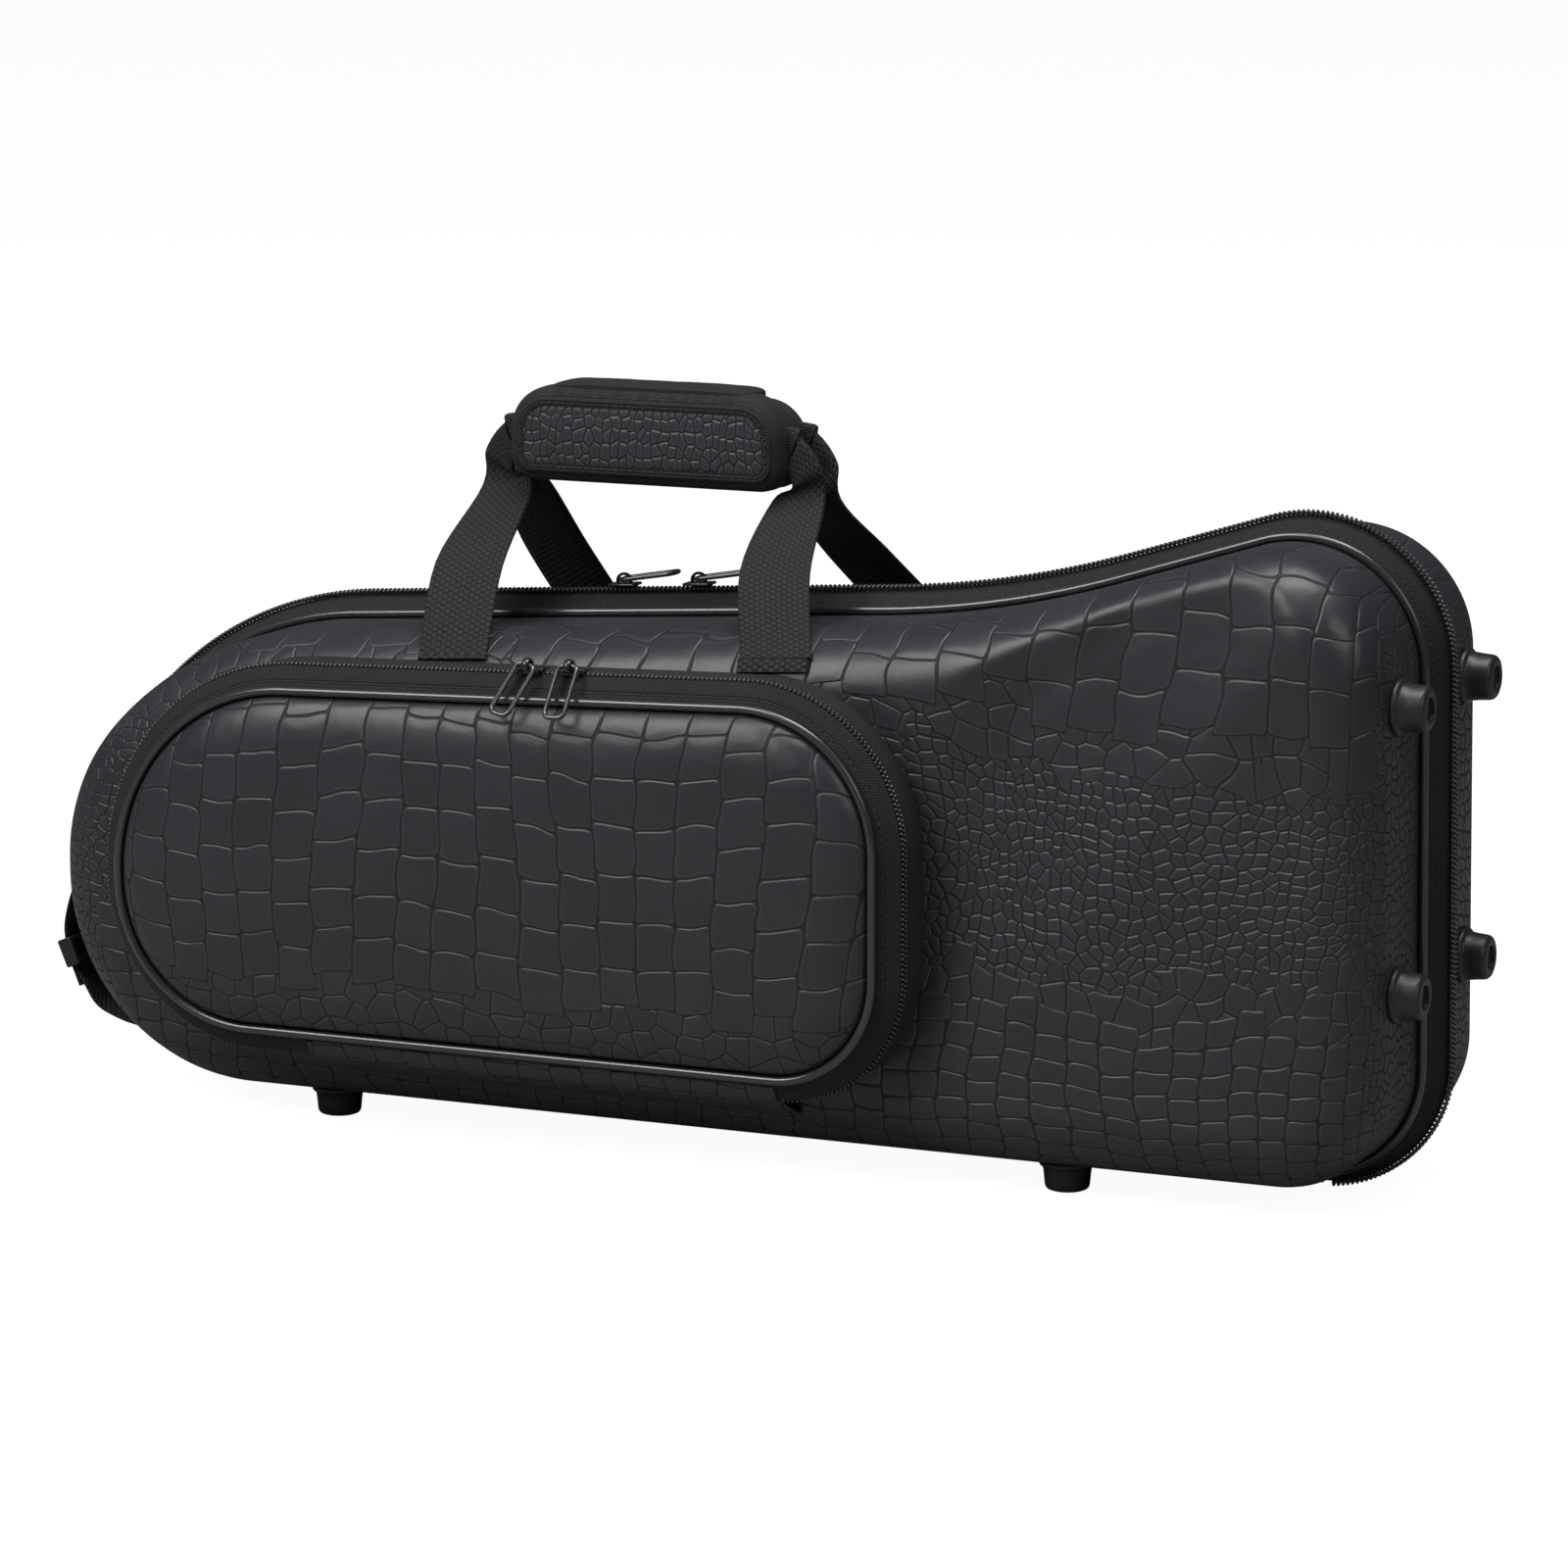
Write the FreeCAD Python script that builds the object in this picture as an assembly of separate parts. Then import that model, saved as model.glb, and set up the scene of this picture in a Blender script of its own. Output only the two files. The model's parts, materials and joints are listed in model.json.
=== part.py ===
"""Contoured soft case for a trumpet: two moulded half shells that zip together and open like a book.

X runs along the case towards the bell end, Y from the pocket side (front, minus) to the back, and Z up.
The origin lies on the floor under the middle of the whole case, pocket and pulls included.
Sizes are measured from the plane where the two halves meet, and the finished pieces move to the origin
together.
The front half, with the pocket, is the lid: it swings about the fabric hinge along the bottom edge.
"""

import FreeCAD, Part
import math
import os
from FreeCAD import Rotation, Vector

os.makedirs("parts", exist_ok=True)

# The case's outline at the zipper ridge
half_length = 295.0
ridge_floor_gap = 2.5
waist_setback = 182.2
waist_height = 226.8
ramp_angle = 17.5
back_slope_angle = 3.87
shoulder_setback = 67.4
cheek_angle = 45.0
end_lean = 3.0
tail_low_round = 93.0
bell_low_round = 52.0
bell_top_round = 58.0
waist_round = 420.0
shoulder_round = 149.0
cheek_round = 92.0
chord_sag = 0.6
least_chords = 2
waist_x = half_length - waist_setback
shoulder_x = shoulder_setback - half_length

# The two moulded shells
half_depth = 72.0
shell_inset = 9.0
shell_wall = 5.0
edge_round = 26.0
outer_steps = 5
inner_steps = 3
parting_gap = 0.15
fit_gap = 0.3
overrun = 20.0

# The shallow valley pressed into each face between the valve body and the bell
valley_radius = 190.0
valley_top_setback = 112.0
valley_top_z = 227.0
valley_top_depth = 8.0
valley_low_setback = 168.0
valley_low_z = 125.0
valley_low_depth = 3.0

# The zipper band round the parting plane
band_width = 12.0
rim_start = 13.0
tape_depth = 0.8
tape_thickness = 1.0
band_thickness = 5.7
band_foot = 2.5
teeth_height = 1.8
teeth_width = 2.25
teeth_bevel = 0.55
teeth_open_chords = 1
hinge_leaf_width = 8.0
hinge_leaf_thickness = 1.0
piping_radius = 1.75
bead_sides = 8

# The fitted bed for the instrument, shared by the back and the lid
bed_setback = 5.0
bell_seat_z = 128.0
bell_seat_radii = (62.5, 62.5, 47.0, 38.0, 32.5, 30.0)
bell_seat_setbacks = (29.0, 38.0, 66.0, 109.0, 187.0, 257.0)
bell_block_setback = 66.0
body_seat = (-165.0, 150.0, 70.0, 162.0, 38.0)
valve_seat = (-40.0, 56.0, 26.0, 198.0, 32.0)
leadpipe_seat = (-245.0, -165.0, 138.0, 162.0, 16.0)
mouthpiece_seat = (-245.0, -182.0, 44.0, 72.0, 16.0)

# Feet
foot_radius = 9.6
foot_taper = 0.8
foot_flange_radius = 11.0
foot_flange_height = 2.0
foot_bevel = 1.6
foot_recess_radius = 4.6
foot_recess_depth = 1.6
turned_sides = 16
foot_offset = 40.7
bottom_foot_setbacks = (127.0, 143.0)
end_foot_z = (88.6, 199.0)
end_foot_reach = 1.5
end_foot_seat_gap = 0.12

# Handle: two webbing straps, a padded grip on each, and a flap that holds the grips together
webbing_width = 30.0
webbing_thickness = 1.8
strap_left_inward = 1.0
strap_right_outward = 21.0
strap_arc_end = 46.0
strap_arc_steps = 2
strap_core_y = 8.0
strap_core_width = 15.0
strap_core_thickness = 4.0
strap_bow = 2.5
strap_side_bow = 4.3
strap_turn_places = ((7.5, 12.75, 35.0), (1.8, 4.0, 62.0), (-7.5, 0.0, 90.0))
grip_middle_x = -41.0
grip_length = 120.0
grip_hand_gap = 43.1
grip_front_height = 38.0
grip_rear_height = 35.0
grip_front_depth = 16.7
grip_rear_depth = 14.7
grip_half_gap = 0.3
grip_top_round = 14.0
grip_low_round = 12.0
grip_edge_round = 5.0
grip_slot_margin = 6.0
grip_steps = 2
binding_width = 5.0
binding_inset = 5.2
binding_thickness = 1.2
panel_thickness = 0.8
flap_thickness = 2.4
flap_front = 13.0
flap_back = 10.5
flap_end_margin = 15.0
patch_thickness = 1.2
patch_margin = 6.0

# Webbing strap on the tail end
end_strap_y = -32.0
end_strap_width = 27.0
end_strap_thickness = 1.6
end_patch_top_angle = 186.0
end_patch_low_angle = 232.0
end_patch_steps = 5
end_loop_stand = (0.0, 3.2, 7.0, 8.6, 8.4, 8.6, 8.7, 8.6, 4.0, 0.6, 0.0)
end_loop_angles = (186.0, 190.5, 196.0, 200.0, 203.0, 206.0, 212.0, 218.0, 224.5, 229.0, 232.0)
end_tab_widths = (13.0, 13.0, 13.0)
end_loop_widths = (27.0, 22.0, 16.0, 14.0, 14.0, 14.0, 17.0, 22.0, 26.0, 27.0, 27.0)
end_tab_stand = (10.4, 10.7, 11.4)
end_tab_angles = (204.6, 208.0, 211.5)
buckle_angle = 203.0
buckle_stand = 8.4
buckle_strap_width = 14.0
buckle_rail = 2.4
buckle_bar = 2.2
buckle_height = 12.0
buckle_bar_height = 2.4

# Pocket on the front shell
pocket_setback = 59.0
pocket_length = 330.0
pocket_low = 46.0
pocket_tail_height = 136.0
pocket_bell_height = 146.5
pocket_rounds = (58.0, 42.0, 55.0, 78.0)
pocket_ridge_height = 9.0
pocket_wall = 2.5
pocket_wall_depth = 18.0
pocket_band_depth = 8.0
pocket_crown_rise = 10.0
pocket_root_sink = 14.0
pocket_teeth_width = 2.2
pocket_teeth_height = 1.2
face_inset = 2.1
crown_share = ((0.0, 0.0), (0.0, 0.18), (0.13, 0.52), (0.42, 0.84), (1.0, 1.0))
crown_reach = 26.0
rim_turn_shares = (0.25, 0.55, 1.0)
hinge_flap_length = 204.0
hinge_flap_thickness = 1.5
hinge_flap_root_angle = 24.0

# Zipper sliders and their wire pulls
slider_half_length = 6.0
slider_half_width = 4.2
slider_clearance = 0.35
slider_plate = 1.25
slider_flange = 1.3
slider_flange_drop = 1.2
slider_corner = 1.8
bail_half_length = 3.4
bail_half_width = 1.4
bail_post = 1.2
bail_gap = 3.2
bail_cap = 1.1
main_slider_x = (-57.0, -24.0)
pocket_slider_x = (-54.0, -36.0)
pocket_bail_shift = 4.4
pocket_pivot_out = 5.15
pull_wire_radius = 1.0
pull_length = 23.5
pull_width = 8.4
pull_round = 2.6
main_pull_lift = 6.0
pocket_pull_drop = 50.0
pocket_pull_slants = (15.0, 0.0)

# Places that follow from these sizes
pocket_left = pocket_setback - half_length
pocket_right = pocket_left + pocket_length
pocket_top_left = pocket_low + pocket_tail_height
pocket_top_right = pocket_low + pocket_bell_height
pocket_root = half_depth - pocket_root_sink
pocket_parting = half_depth + pocket_wall_depth
pocket_edge = pocket_parting + pocket_band_depth
pocket_crown = pocket_edge + pocket_crown_rise
hinge_flap_right = pocket_right - pocket_rounds[1] - fit_gap
hinge_flap_left = hinge_flap_right - hinge_flap_length
grip_left = grip_middle_x - grip_length / 2
grip_right = grip_middle_x + grip_length / 2


class Outline:
    """A closed outline in the XZ plane: straight runs joined by corners that turn in short chords.

    The run into the first corner is the one that a belt leaves out when it is open.
    """

    def __init__(self, corners):
        """Take corners as (x, z, radius), anticlockwise, and work out the rays that their chords end on."""
        self.rays = []
        for i, (x, z, radius) in enumerate(corners):
            before = corners[i - 1]
            after = corners[(i + 1) % len(corners)]
            here = Vector(x, 0, z)
            inward_run = (here - Vector(before[0], 0, before[1])).normalize()
            outward_run = (Vector(after[0], 0, after[1]) - here).normalize()
            turn = math.atan2(
                inward_run.x * outward_run.z - inward_run.z * outward_run.x,
                inward_run.dot(outward_run),
            )
            side = math.copysign(1, turn)
            start = here - inward_run * (radius * math.tan(abs(turn) / 2))
            centre = start + Vector(-inward_run.z, 0, inward_run.x) * (side * radius)
            first = math.atan2(start.z - centre.z, start.x - centre.x)
            step = 2 * math.acos(1 - chord_sag / radius)
            chords = max(least_chords, math.ceil(abs(turn) / step))
            for k in range(chords + 1):
                self.rays.append((centre, radius, side, first + turn * k / chords))

    def ring(self, inset, y):
        """Return the outline's points, moved inwards by inset, at height y."""
        points = []
        for centre, radius, side, angle in self.rays:
            reach = radius - side * inset
            points.append(centre + Vector(math.cos(angle) * reach, y, math.sin(angle) * reach))
        return points


def rectangle(left, right, low, high, radius):
    """Return a rounded rectangle's outline."""
    corners = ((left, low), (right, low), (right, high), (left, high))
    return Outline([(x, z, radius) for x, z in corners])


def slope(x):
    """Return the zipper ridge's height above x on its long straight run along the top."""
    return ridge_floor_gap + waist_height - (waist_x - x) * math.tan(math.radians(back_slope_angle))


def case_outline():
    """Return the case's outline at the zipper ridge."""
    waist_z = ridge_floor_gap + waist_height
    top_x = half_length - end_lean
    top_z = waist_z + (top_x - waist_x) * math.tan(math.radians(ramp_angle))
    shoulder_z = slope(shoulder_x)
    cheek_z = shoulder_z - (shoulder_x + half_length) * math.tan(math.radians(cheek_angle))
    corners = (
        (half_length, ridge_floor_gap, bell_low_round),
        (top_x, top_z, bell_top_round),
        (waist_x, waist_z, waist_round),
        (shoulder_x, shoulder_z, shoulder_round),
        (-half_length, cheek_z, cheek_round),
        (-half_length, ridge_floor_gap, tail_low_round),
    )
    return Outline(corners)


case = case_outline()
grip_low = slope(grip_middle_x) + grip_hand_gap
grip_front_top = grip_low + grip_front_height
grip_rear_top = grip_low + grip_rear_height
strap_core_z = grip_low + grip_front_height / 2


def flat_face(points):
    """Return the flat face inside a closed run of points."""
    return Part.Face(Part.makePolygon(list(points) + [points[0]]))


def closed_solid(faces):
    """Sew faces that meet edge to edge into one solid that faces outwards."""
    shell = Part.makeShell(faces)
    shell.sewShape()
    solid = Part.makeSolid(shell)
    if solid.Volume < 0:
        solid.reverse()
    return solid


def walls(ring, following):
    """Return the flat faces between two rings whose sides are parallel."""
    faces = []
    for i, point in enumerate(ring):
        faces.append(flat_face((ring[i - 1], point, following[i], following[i - 1])))
    return faces


def tube(rings):
    """Return the solid through rings of points, closed by a flat face at both ends."""
    faces = [flat_face(rings[0]), flat_face(rings[-1])]
    for ring, following in zip(rings, rings[1:]):
        faces += walls(ring, following)
    return closed_solid(faces)


def belt(outline, section, open_chords=None):
    """Carry a closed section of (inset, y) points round an outline.

    The belt is whole, or open along the outline's first run and as many chords of the corner at either end.
    """
    rings = list(zip(*[outline.ring(inset, y) for inset, y in section]))
    if open_chords is not None:
        return tube(rings[open_chords:len(rings) - open_chords])
    faces = []
    for ring, following in zip(rings, rings[1:] + rings[:1]):
        faces += walls(ring, following)
    return closed_solid(faces)


def bead(inset, y, radius):
    """Return the section of a round cord, with a flat towards the inside of the outline."""
    points = []
    for i in range(bead_sides):
        angle = math.radians(360 / bead_sides * (i + 0.5))
        reach = radius / math.cos(math.pi / bead_sides)
        points.append((inset + reach * math.cos(angle), y + reach * math.sin(angle)))
    return points


def stack(outline, levels):
    """Return the solid that passes through an outline at each level of (inset, y)."""
    return tube([outline.ring(inset, y) for inset, y in levels])


def slab(outline, inset, low, high):
    """Return the outline, moved inwards by inset, as a flat block from y low to y high."""
    return stack(outline, ((inset, low), (inset, high)))


def rounded_stack(outline, inset, low, high, radius, steps):
    """Return a block whose rim at y high is rounded over in a few bevelled steps."""
    levels = [(inset, low)]
    for i in range(steps + 1):
        angle = math.radians(90 * i / steps)
        levels.append((inset + radius * (1 - math.cos(angle)), high - radius * (1 - math.sin(angle))))
    return stack(outline, levels)


def turned(profile):
    """Return the solid turned about Z from a profile of (radius, height)."""
    rings = []
    for radius, height in profile:
        angles = [2 * math.pi * i / turned_sides for i in range(turned_sides)]
        rings.append([Vector(radius * math.cos(angle), radius * math.sin(angle), height) for angle in angles])
    return tube(rings)


def strip(stations):
    """Return a flat band through stations of (centre, across, outward, width, thickness)."""
    rings = []
    for centre, across, outward, width, thickness in stations:
        reach = across * (width / 2)
        rise = outward * (thickness / 2)
        near = centre - rise
        far = centre + rise
        rings.append((near - reach, near + reach, far + reach, far - reach))
    faces = [flat_face(rings[0]), flat_face(rings[-1])]
    for ring, following in zip(rings, rings[1:]):
        for i, point in enumerate(ring):
            faces.append(flat_face((ring[i - 1], point, following[i])))
            faces.append(flat_face((ring[i - 1], following[i], following[i - 1])))
    return closed_solid(faces)


def box(low, high):
    """Return the block between two corners."""
    size = [b - a for a, b in zip(low, high)]
    return Part.makeBox(*size, Vector(*low))


def mirrored(shape):
    """Return the shape on the other side of the parting plane."""
    return shape.mirror(Vector(0, 0, 0), Vector(0, 1, 0))


def polar(centre_x, centre_z, radius, degrees, y):
    """Return the point at an angle round a centre in the XZ plane."""
    angle = math.radians(degrees)
    return Vector(centre_x + radius * math.cos(angle), y, centre_z + radius * math.sin(angle))


nodes = {}


def save(shapes, name):
    """Keep one node: a shape, or a group of separate solids."""
    group = shapes if isinstance(shapes, list) else [shapes]
    for shape in group:
        if not shape.isValid() or shape.Volume <= 0:
            print("CHECK", name, shape.isValid(), round(shape.Volume, 1))
    nodes[name] = group[0] if len(group) == 1 else Part.makeCompound(group)


def write_nodes():
    """Move all the nodes together, so that the origin is under the middle of the whole, and write them."""
    points, _ = Part.makeCompound(list(nodes.values())).tessellate(chord_sag)
    middle_x = (min(point.x for point in points) + max(point.x for point in points)) / 2
    middle_y = (min(point.y for point in points) + max(point.y for point in points)) / 2
    floor = min(point.z for point in points)
    for name, shape in nodes.items():
        shape.translate(Vector(-middle_x, -middle_y, -floor))
        shape.exportStep(os.path.join("parts", name + ".step"))
    print("middle of the whole", middle_x, middle_y, floor)


# Moulded shells
def valley(radius):
    """Return the long round bar that presses the valley into a face, at the given radius."""
    axis_y = half_depth + valley_radius
    top = Vector(half_length - valley_top_setback, axis_y - valley_top_depth, valley_top_z)
    low = Vector(half_length - valley_low_setback, axis_y - valley_low_depth, valley_low_z)
    along = (top - low).normalize()
    start = low - along * half_length
    return Part.makeCylinder(radius, 2 * half_length, start, along)


def shell_outside():
    """Return the shell's outer form, from its rim to its face."""
    form = rounded_stack(case, shell_inset, rim_start, half_depth, edge_round, outer_steps)
    return form.cut(valley(valley_radius))


def shell_inside(depth_in, low):
    """Return the form of what fills the shell, depth_in under its outside, starting at y low."""
    inset = shell_inset + depth_in
    form = rounded_stack(case, inset, low, half_depth - depth_in, edge_round - depth_in, inner_steps)
    return form.cut(valley(valley_radius + depth_in))


def bottom_foot_seats():
    """Return each bottom foot's place on the shell and the direction that it points."""
    z = ridge_floor_gap + shell_inset
    tail_setback, bell_setback = bottom_foot_setbacks
    places = (tail_setback - half_length, half_length - bell_setback)
    return [(Vector(x, foot_offset, z), Vector(0, 0, -1)) for x in places]


def end_face_x(z):
    """Return the shell's end face at a height, which leans in towards the top."""
    lean = end_lean / (waist_height + (half_length - waist_x) * math.tan(math.radians(ramp_angle)))
    return half_length - shell_inset - lean * (z - ridge_floor_gap)


def end_foot_seats():
    """Return each end foot's place on the shell and the direction that it points."""
    return [(Vector(end_face_x(z) + end_foot_seat_gap, foot_offset, z), Vector(1, 0, 0)) for z in end_foot_z]


def half_shell():
    """Return the moulded half shell, hollow and open at its rim."""
    return shell_outside().cut(shell_inside(shell_wall, rim_start - overrun))


# Zipper band, piping and fabric hinge
def tape_inset(y):
    """Return how far in the zipper tape's outer face lies at a distance from the parting plane."""
    fall = (shell_inset - tape_depth - tape_thickness) / (band_width - parting_gap)
    return tape_depth + fall * (y - parting_gap)


def zip_tape():
    """Return one half's zipper tape, sloping from the ridge down to the piping."""
    inner = tape_inset(band_width) + tape_thickness
    section = (
        (tape_depth, parting_gap),
        (tape_inset(band_width), band_width),
        (inner, band_width),
        (tape_depth + tape_thickness, parting_gap),
    )
    return belt(case, section)


def edge_band():
    """Return the padded fabric band under the tape, sewn to the shell's rim."""
    section = (
        (tape_depth + tape_thickness, parting_gap),
        (tape_inset(band_width) + tape_thickness, band_width),
        (shell_inset, rim_start),
        (shell_inset + shell_wall, rim_start),
        (shell_inset + shell_wall, rim_start - band_foot),
        (tape_depth + tape_thickness + band_thickness, parting_gap),
    )
    return belt(case, section)


def zip_teeth():
    """Return one half's row of coil, which runs round the ends and the top from just above the hinge."""
    top = tape_depth - teeth_height
    far = parting_gap + teeth_width
    section = (
        (top, parting_gap),
        (top, far - teeth_bevel),
        (top + teeth_bevel, far),
        (tape_inset(far), far),
        (tape_depth, parting_gap),
    )
    return belt(case, section, open_chords=teeth_open_chords)


def hinge_leaf():
    """Return one half of the fabric hinge along the straight bottom edge."""
    section = (
        (tape_depth - hinge_leaf_thickness, parting_gap),
        (tape_inset(hinge_leaf_width) - hinge_leaf_thickness, hinge_leaf_width),
        (tape_inset(hinge_leaf_width), hinge_leaf_width),
        (tape_depth, parting_gap),
    )
    rings = list(zip(*[case.ring(inset, y) for inset, y in section]))
    return tube([rings[-1], rings[0]])


def piping():
    """Return the cord that lies on the shell's edge beside the band."""
    return belt(case, bead(shell_inset - piping_radius, rim_start + piping_radius, piping_radius))


# Fitted bed
def seat_block(seat):
    """Return the block that clears one seat in the bed, on both sides of the parting plane."""
    left, right, low, high, depth = seat
    return box((left, -depth, low), (right, depth, high))


def bell_seat():
    """Return the flared form that clears the seat of the instrument's bell."""
    places = [half_length - setback for setback in bell_seat_setbacks]
    flare = turned(list(zip(bell_seat_radii, places)))
    flare.Placement = FreeCAD.Placement(Vector(0, 0, bell_seat_z), Rotation(Vector(0, 0, 1), Vector(1, 0, 0)))
    return flare


def bed(seats):
    """Return a bed that fills one shell round the instrument's seats, built up of straight foam blocks.

    The blocks end where a seat ends, at its floor, and in the middle of the bell's seat.
    """
    form = shell_inside(shell_wall + fit_gap, bed_setback).cut(bell_seat())
    for seat in seats:
        form = form.cut(seat_block(seat))
    ends = {-half_length, half_length, half_length - bell_block_setback}
    for left, right, _, _, _ in seats:
        ends |= {left, right}
    ends = sorted(ends)
    bell_start = body_seat[1]
    blocks = []
    for left, right in zip(ends, ends[1:]):
        floors = {seat[-1] for seat in seats if seat[0] < right and seat[1] > left}
        depths = sorted({0, half_depth} | floors)
        heights = [0, bell_seat_z, half_length] if left >= bell_start else [0, half_length]
        for low, high in zip(depths, depths[1:]):
            for under, over in zip(heights, heights[1:]):
                cell = box((left, low, under), (right, high, over))
                blocks += form.common(cell).Solids
    return blocks


# Feet
def foot(height, recess):
    """Return one foot standing up along Z from its seat, bevelled round its tip."""
    tip = foot_radius - foot_taper
    profile = [
        (foot_flange_radius, 0),
        (foot_flange_radius, foot_flange_height),
        (foot_radius, foot_flange_height),
        (tip, height - foot_bevel),
        (tip - foot_bevel, height),
    ]
    if recess:
        profile.append((foot_recess_radius, height))
        profile.append((foot_recess_radius, height - foot_recess_depth))
    return turned(profile)


def placed_feet(seats, heights, recess):
    """Return a foot on each seat, turned to point away from the shell."""
    feet = []
    for (seat, along), height in zip(seats, heights):
        one = foot(height, recess)
        one.Placement = FreeCAD.Placement(seat, Rotation(Vector(0, 0, 1), along))
        feet.append(one)
    return feet


def bottom_feet():
    """Return one half's feet along the bottom edge."""
    seats = bottom_foot_seats()
    return placed_feet(seats, [seat.z for seat, _ in seats], False)


def end_feet():
    """Return one half's feet on the bell end."""
    seats = end_foot_seats()
    return placed_feet(seats, [half_length + end_foot_reach - seat.x for seat, _ in seats], True)


# Handle
def strap_leg(base_x, end_x, turn_in):
    """Return a leg's stations, from its sewn foot above the pocket's ridge up into the end of the grip."""
    arc_radius = edge_round + fit_gap + webbing_thickness / 2
    tilt = math.radians(back_slope_angle)
    level = Vector(math.cos(tilt), 0, math.sin(tilt))
    upright = Vector(-math.sin(tilt), 0, math.cos(tilt))
    arc_z = slope(base_x) - (shell_inset + edge_round) / math.cos(tilt)
    arc_centre = Vector(base_x, half_depth - edge_round, arc_z)
    foot_rise = pocket_ridge(base_x + webbing_width / 2) + fit_gap - arc_z
    arc_start = math.degrees(math.acos(foot_rise / arc_radius))
    stations = []
    for i in range(strap_arc_steps + 1):
        angle = math.radians(arc_start + (strap_arc_end - arc_start) * i / strap_arc_steps)
        outward = Vector(0, math.sin(angle), 0) + upright * math.cos(angle)
        centre = arc_centre + outward * arc_radius
        stations.append((centre, level * turn_in, outward, webbing_width, webbing_thickness))
    lift = stations[-1][0]
    lean = stations[-1][2]
    neck_width = (webbing_width + strap_core_width) / 2
    neck_thickness = (webbing_thickness + strap_core_thickness) / 2
    neck = Vector(end_x - turn_in * strap_core_thickness, strap_core_y, grip_low - strap_core_thickness)
    middle = (lift + neck) * (1 / 2) + lean * strap_bow - Vector(strap_side_bow, 0, 0)
    stations.append((middle, Vector(turn_in, 0, 0), lean, webbing_width, webbing_thickness))
    stations.append((neck, Vector(turn_in, 0, 0), lean, neck_width, neck_thickness))
    for back, drop, degrees in strap_turn_places:
        centre = Vector(end_x - turn_in * back, strap_core_y, strap_core_z - drop)
        angle = math.radians(degrees)
        across = Vector(turn_in * math.cos(angle), 0, -math.sin(angle))
        stations.append((centre, across, Vector(0, 1, 0), strap_core_width, strap_core_thickness))
    return stations


def handle_strap():
    """Return one webbing strap: two legs, and the stretch between them that runs inside the grip."""
    left = strap_leg(grip_left + strap_left_inward, grip_left, 1)
    right = strap_leg(grip_right + strap_right_outward, grip_right, -1)
    return strip(left + right[::-1])


def grip_outline(top):
    """Return the grip's outline seen from the front."""
    corners = (
        (grip_left, grip_low, grip_low_round),
        (grip_right, grip_low, grip_low_round),
        (grip_right, top, grip_top_round),
        (grip_left, top, grip_top_round),
    )
    return Outline(corners)


def grip_pad(top, depth):
    """Return a padded grip with a slot along it for its strap."""
    face = grip_half_gap + depth
    pad = rounded_stack(grip_outline(top), 0, grip_half_gap, face, grip_edge_round, grip_steps)
    slot_half = strap_core_thickness / 2 + fit_gap
    slot = box(
        (grip_left - overrun, strap_core_y - slot_half, grip_low + grip_slot_margin),
        (grip_right + overrun, strap_core_y + slot_half, grip_front_top - grip_slot_margin),
    )
    return pad.cut(slot)


def grip_binding():
    """Return the raised binding sewn round the front of the grip."""
    face = grip_half_gap + grip_front_depth
    section = (
        (binding_inset, face),
        (binding_inset, face + binding_thickness),
        (binding_inset + binding_width, face + binding_thickness),
        (binding_inset + binding_width, face),
    )
    return belt(grip_outline(grip_front_top), section)


def grip_panel():
    """Return the embossed panel inside the binding."""
    face = grip_half_gap + grip_front_depth
    inset = binding_inset + binding_width + fit_gap
    return slab(grip_outline(grip_front_top), inset, face, face + panel_thickness)


def flap_sheet(low, high, margin):
    """Return a flat sheet over the tops of both grips."""
    return box(
        (grip_left + flap_end_margin + margin, -flap_front + margin, low),
        (grip_right - flap_end_margin - margin, flap_back - margin, high),
    )


def patch(low, high):
    """Return a patch of hook or loop tape between the flap and the rear grip."""
    return box(
        (grip_left + flap_end_margin + patch_margin, grip_half_gap + fit_gap, low),
        (grip_right - flap_end_margin - patch_margin, flap_back - patch_thickness, high),
    )


# Tail end strap
end_seat = fit_gap + end_strap_thickness + fit_gap + end_strap_thickness / 2


def tail_point(reach, degrees, width):
    """Return the middle of a band of this width at an angle round the tail's low corner, off the shell."""
    centre_x = -half_length + tail_low_round
    centre_z = ridge_floor_gap + tail_low_round
    front_y = end_strap_y - end_strap_width / 2
    return polar(centre_x, centre_z, tail_low_round - shell_inset + reach, degrees, front_y + width / 2)


def end_band(places):
    """Return a band on the tail end through places of (reach, degrees, width), level along its front edge."""
    points = [tail_point(*place) for place in places]
    stations = []
    for i, point in enumerate(points):
        before = points[max(i - 1, 0)]
        after = points[min(i + 1, len(points) - 1)]
        along = Vector(after.x - before.x, 0, after.z - before.z).normalize()
        outward = Vector(along.z, 0, -along.x)
        stations.append((point, Vector(0, 1, 0), outward, places[i][-1], end_strap_thickness))
    return strip(stations)


def end_backing():
    """Return the webbing sewn flat on the shell's tail end."""
    reach = fit_gap + end_strap_thickness / 2
    sweep = end_patch_low_angle - end_patch_top_angle
    angles = [end_patch_top_angle + sweep * i / end_patch_steps for i in range(end_patch_steps + 1)]
    return end_band([(reach, angle, end_strap_width) for angle in angles])


def end_loop():
    """Return the loop of webbing that stands off the tail end as a pull, folded narrower at its middle."""
    reaches = [end_seat + stand for stand in end_loop_stand]
    return end_band(list(zip(reaches, end_loop_angles, end_loop_widths)))


def end_tab():
    """Return the free end of the webbing, which hangs out of the buckle over the loop."""
    reaches = [end_seat + stand for stand in end_tab_stand]
    return end_band(list(zip(reaches, end_tab_angles, end_tab_widths)))


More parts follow.
